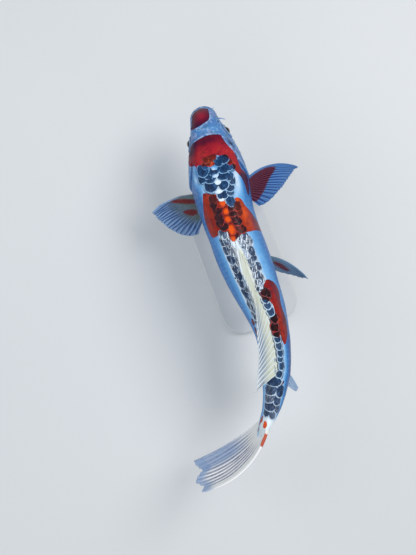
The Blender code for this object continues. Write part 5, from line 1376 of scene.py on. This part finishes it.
def build_eye(sign, word, material):
    _, back, right, upward = spine(EYE["s"][sign])
    centre = eye_centre(sign) - right * sign * 1.0
    axis = unit(right * sign + upward * 0.10 - back * 0.06)
    e1 = unit(upward - axis * (upward @ axis))
    e2 = np.cross(axis, e1)
    around, rows = 64, 40
    theta = np.linspace(0.0, math.pi, rows + 1)[1:-1]
    phi = np.linspace(0.0, 2 * math.pi, around, endpoint=False)
    r = 7.75 + 0.55 * smoothstep(0.80, 0.35, theta)         # the clear dome in front stands a little proud
    ring = (np.cos(theta) * r)[:, None, None] * axis + (np.sin(theta) * r)[:, None, None] * (
        np.cos(phi)[None, :, None] * e1 + np.sin(phi)[None, :, None] * e2)
    points = np.vstack([ring.reshape(-1, 3), [axis * 8.3], [-axis * 7.75]]) + centre
    faces, uv = [], []
    spot = lambda t, p: (0.5 + 0.48 * t / math.pi * math.cos(p), 0.5 + 0.48 * t / math.pi * math.sin(p))
    for i in range(len(theta) - 1):
        for j in range(around):
            k = (j + 1) % around
            faces.append((i * around + j, (i + 1) * around + j, (i + 1) * around + k, i * around + k))
            uv += [spot(theta[i], phi[j]), spot(theta[i + 1], phi[j]), spot(theta[i + 1], phi[k]), spot(theta[i], phi[k])]
    first, last = len(points) - 2, len(points) - 1
    end = (len(theta) - 1) * around
    for j in range(around):
        k = (j + 1) % around
        faces.append((first, j, k))
        uv += [spot(0, 0), spot(theta[0], phi[j]), spot(theta[0], phi[k])]
        faces.append((last, end + k, end + j))
        uv += [spot(math.pi, phi[j]), spot(theta[-1], phi[k]), spot(theta[-1], phi[j])]
    rel = unit(points - centre)
    out = np.arccos(np.clip(rel @ axis, -1, 1))
    values = dict(out=out, turn=np.arctan2(rel @ e2, rel @ e1), high=rel @ upward)
    return add_mesh("eyeball_" + word, points, faces, uv, values, material)


def barbel_material():
    m = Shade("koi_barbel", Roughness=0.36, IOR=1.36, Coat_Weight=0.2, Coat_Roughness=0.12)
    run = m.attr("run")
    colour = m.mix(m.step(run, 0.0, 1.0), srgb(84, 134, 196), srgb(150, 180, 222))
    colour = m.mix(m.math("MULTIPLY", m.step(m.noise(500.0, 3.0), 0.45, 0.7), 0.30), colour, srgb(112, 118, 156))
    return m.set(Base_Color=colour, Normal=m.bump(m.noise(900.0, 3.0), 0.00012, 0.6))


BARBELS = {"barbel_corner": dict(s=20.5, up=-14.0, out=0.86, back=0.12, rise=-0.50, length=16.0, thick=2.6),
           "barbel_upper": dict(s=8.0, up=-4.5, out=0.80, back=-0.35, rise=-0.48, length=9.5, thick=1.9)}


def build_barbel(name, sign, b, material):
    start = at(b["s"], sign * (side_at(b["s"], b["up"]) - 2.5), b["up"])
    _, back, right, _ = spine(b["s"])
    tuck = 0.45 if sign < 0 else 1.0                          # the left ones hang closer, the right ones reach forward
    out = unit(right * sign * b["out"] * tuck + back * (b["back"] - 0.16 * (sign > 0)) + UP * b["rise"] / math.sqrt(tuck))
    around, rows = 20, 30
    points, uv, faces, run = [], [], [], []
    phi = np.linspace(0.0, 2 * math.pi, around, endpoint=False)[:, None]
    for i, t in enumerate(np.linspace(0.0, 1.0, rows)):
        centre = start + out * b["length"] * t + (back * 0.30 - UP * 0.16) * b["length"] * t * t
        centre = centre + back * 0.35 * math.sin(5.0 * t) * t
        d = unit(out + (back * 0.60 - UP * 0.32) * t)
        e = unit(np.cross(d, UP))
        f = np.cross(d, e)
        radius = b["thick"] / 2 * (1 - 0.55 * t) * math.sqrt(max(0.0, 1 - max(0.0, (t - 0.90) / 0.10) ** 2) + 0.02)
        radius = radius * (1 + 0.75 * math.exp(-((t - 0.10) / 0.13) ** 2)) * (1 + 0.035 * math.sin(t * 46.0))
        points += list(centre + radius * (np.cos(phi) * e + np.sin(phi) * f))
        run += [t] * around
    for i in range(rows - 1):
        for j in range(around):
            k = (j + 1) % around
            faces.append((i * around + j, i * around + k, (i + 1) * around + k, (i + 1) * around + j))
            uv += [(j / around, i / rows), ((j + 1) / around, i / rows), ((j + 1) / around, (i + 1) / rows),
                   (j / around, (i + 1) / rows)]
    for row, flip in ((0, True), (rows - 1, False)):
        f = [row * around + j for j in range(around)]
        faces.append(tuple(f[::-1] if flip else f))
        uv += [(0.98, 0.98)] * around
    return add_mesh(name + "_flesh", points, faces, uv, dict(run=run), material)


# ---------------------------------------------------------------- the stand
def board_material():
    m = Shade("stand_lacquer", Roughness=0.36, IOR=1.48, Coat_Weight=0.5, Coat_Roughness=0.18)
    tint = m.noise(9.0, 3.0, 0.5)
    colour = m.mix(tint, srgb(190, 193, 197), srgb(202, 204, 208))
    colour = m.mix(m.math("MULTIPLY", m.step(m.noise(380.0, 4.0, 0.7), 0.62, 0.80), 0.25), colour, srgb(150, 154, 160))
    peel = m.math("ADD", m.noise(520.0, 2.0), m.math("MULTIPLY", m.noise(60.0, 2.0), 0.6))
    rough = m.math("ADD", 0.28, m.math("MULTIPLY", m.noise(24.0, 4.0), 0.20))
    return m.set(Base_Color=colour, Roughness=rough, Normal=m.bump(peel, 0.00010, 0.35))


def steel_material():
    m = Shade("stand_brushed_steel", Metallic=1.0, Roughness=0.30)
    stretch = m.node("ShaderNodeMapping")
    stretch.inputs["Scale"].default_value = (1.0, 1.0, 40.0)
    m.feed(stretch.inputs["Vector"], m.position())
    lines = m.noise(90.0, 4.0, 0.7, vector=stretch.outputs[0])
    colour = m.mix(lines, srgb(168, 170, 174), srgb(214, 215, 217))
    rough = m.math("ADD", 0.20, m.math("MULTIPLY", lines, 0.22))
    return m.set(Base_Color=colour, Roughness=rough, Normal=m.bump(lines, 0.00004, 0.5))


def floor_material():
    m = Shade("studio_floor", Roughness=0.75)
    tint = m.noise(1.6, 3.0)
    return m.set(Base_Color=m.mix(tint, srgb(208, 210, 213), srgb(216, 218, 220)),
                 Normal=m.bump(m.noise(220.0, 3.0), 0.0002, 0.12))


def rides(piece, slot, *nodes):
    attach(piece, "root")
    if nodes:
        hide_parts(*nodes)


body, unwrap = build_skin()
rides(body, "skin", "head", "trunk", "tail", "gill_cover_left", "gill_cover_right")
rides(build_scales(unwrap), "skin")
for piece, nodes in build_fins():
    rides(piece, "fin", *nodes)
eye, flesh = eye_material(), barbel_material()
for sign, word in ((1, "right"), (-1, "left")):
    rides(build_eye(sign, word, eye), "eye", "eye_" + word)
    for kind, shape in BARBELS.items():
        name = f"{kind}_{word}"
        rides(build_barbel(name, sign, shape, flesh), "barbel", name)

board, steel = board_material(), steel_material()
for node, material in (("stand_base", board), ("stand_rod_front", steel), ("stand_rod_rear", steel)):
    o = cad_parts[node]
    for slot in o.material_slots:
        slot.material = material

# ---------------------------------------------------------------- studio
scene = bpy.context.scene
plane = bpy.data.meshes.new("floor")
plane.from_pydata([(-3, -3, 0), (3, -3, 0), (3, 3, 0), (-3, 3, 0)], [], [(0, 1, 2, 3)])
plane.materials.append(floor_material())
floor = bpy.data.objects.new("floor", plane)
scene.collection.objects.link(floor)


def soft_light(name, place, towards, size, power, colour):
    data = bpy.data.lights.new(name, "AREA")
    data.shape, data.size, data.energy, data.color = "DISK", size, power, colour
    o = bpy.data.objects.new(name, data)
    o.location = place
    d = np.asarray(towards, float) - np.asarray(place, float)
    o.rotation_euler = (math.acos(-d[2] / np.linalg.norm(d)), 0.0, math.atan2(d[1], d[0]) - math.pi / 2)
    scene.collection.objects.link(o)


soft_light("key", (0.80, 0.45, 1.60), (0, 0, 0.12), 0.9, 18.0, (1.0, 0.995, 0.98))
soft_light("fill", (-1.3, 0.2, 1.3), (0, 0, 0.12), 1.4, 8.0, (0.94, 0.98, 1.0))
soft_light("tail_light", (-0.3, -1.4, 1.1), (0, -0.1, 0.12), 1.2, 4.0, (0.95, 0.97, 1.0))
world = bpy.data.worlds.new("studio")
world.use_nodes = True
world.node_tree.nodes["Background"].inputs["Color"].default_value = (0.86, 0.91, 0.95, 1.0)
world.node_tree.nodes["Background"].inputs["Strength"].default_value = 0.52
scene.world = world
scene.view_settings.view_transform = "Standard"

camera = bpy.data.cameras.new("camera")
camera.lens, camera.sensor_width = 51.445, 36.0
camera.clip_start, camera.clip_end = 0.05, 20.0
view = bpy.data.objects.new("camera", camera)
view.location = (-0.05285, -0.032625, 1.300)
scene.collection.objects.link(view)
scene.camera = view
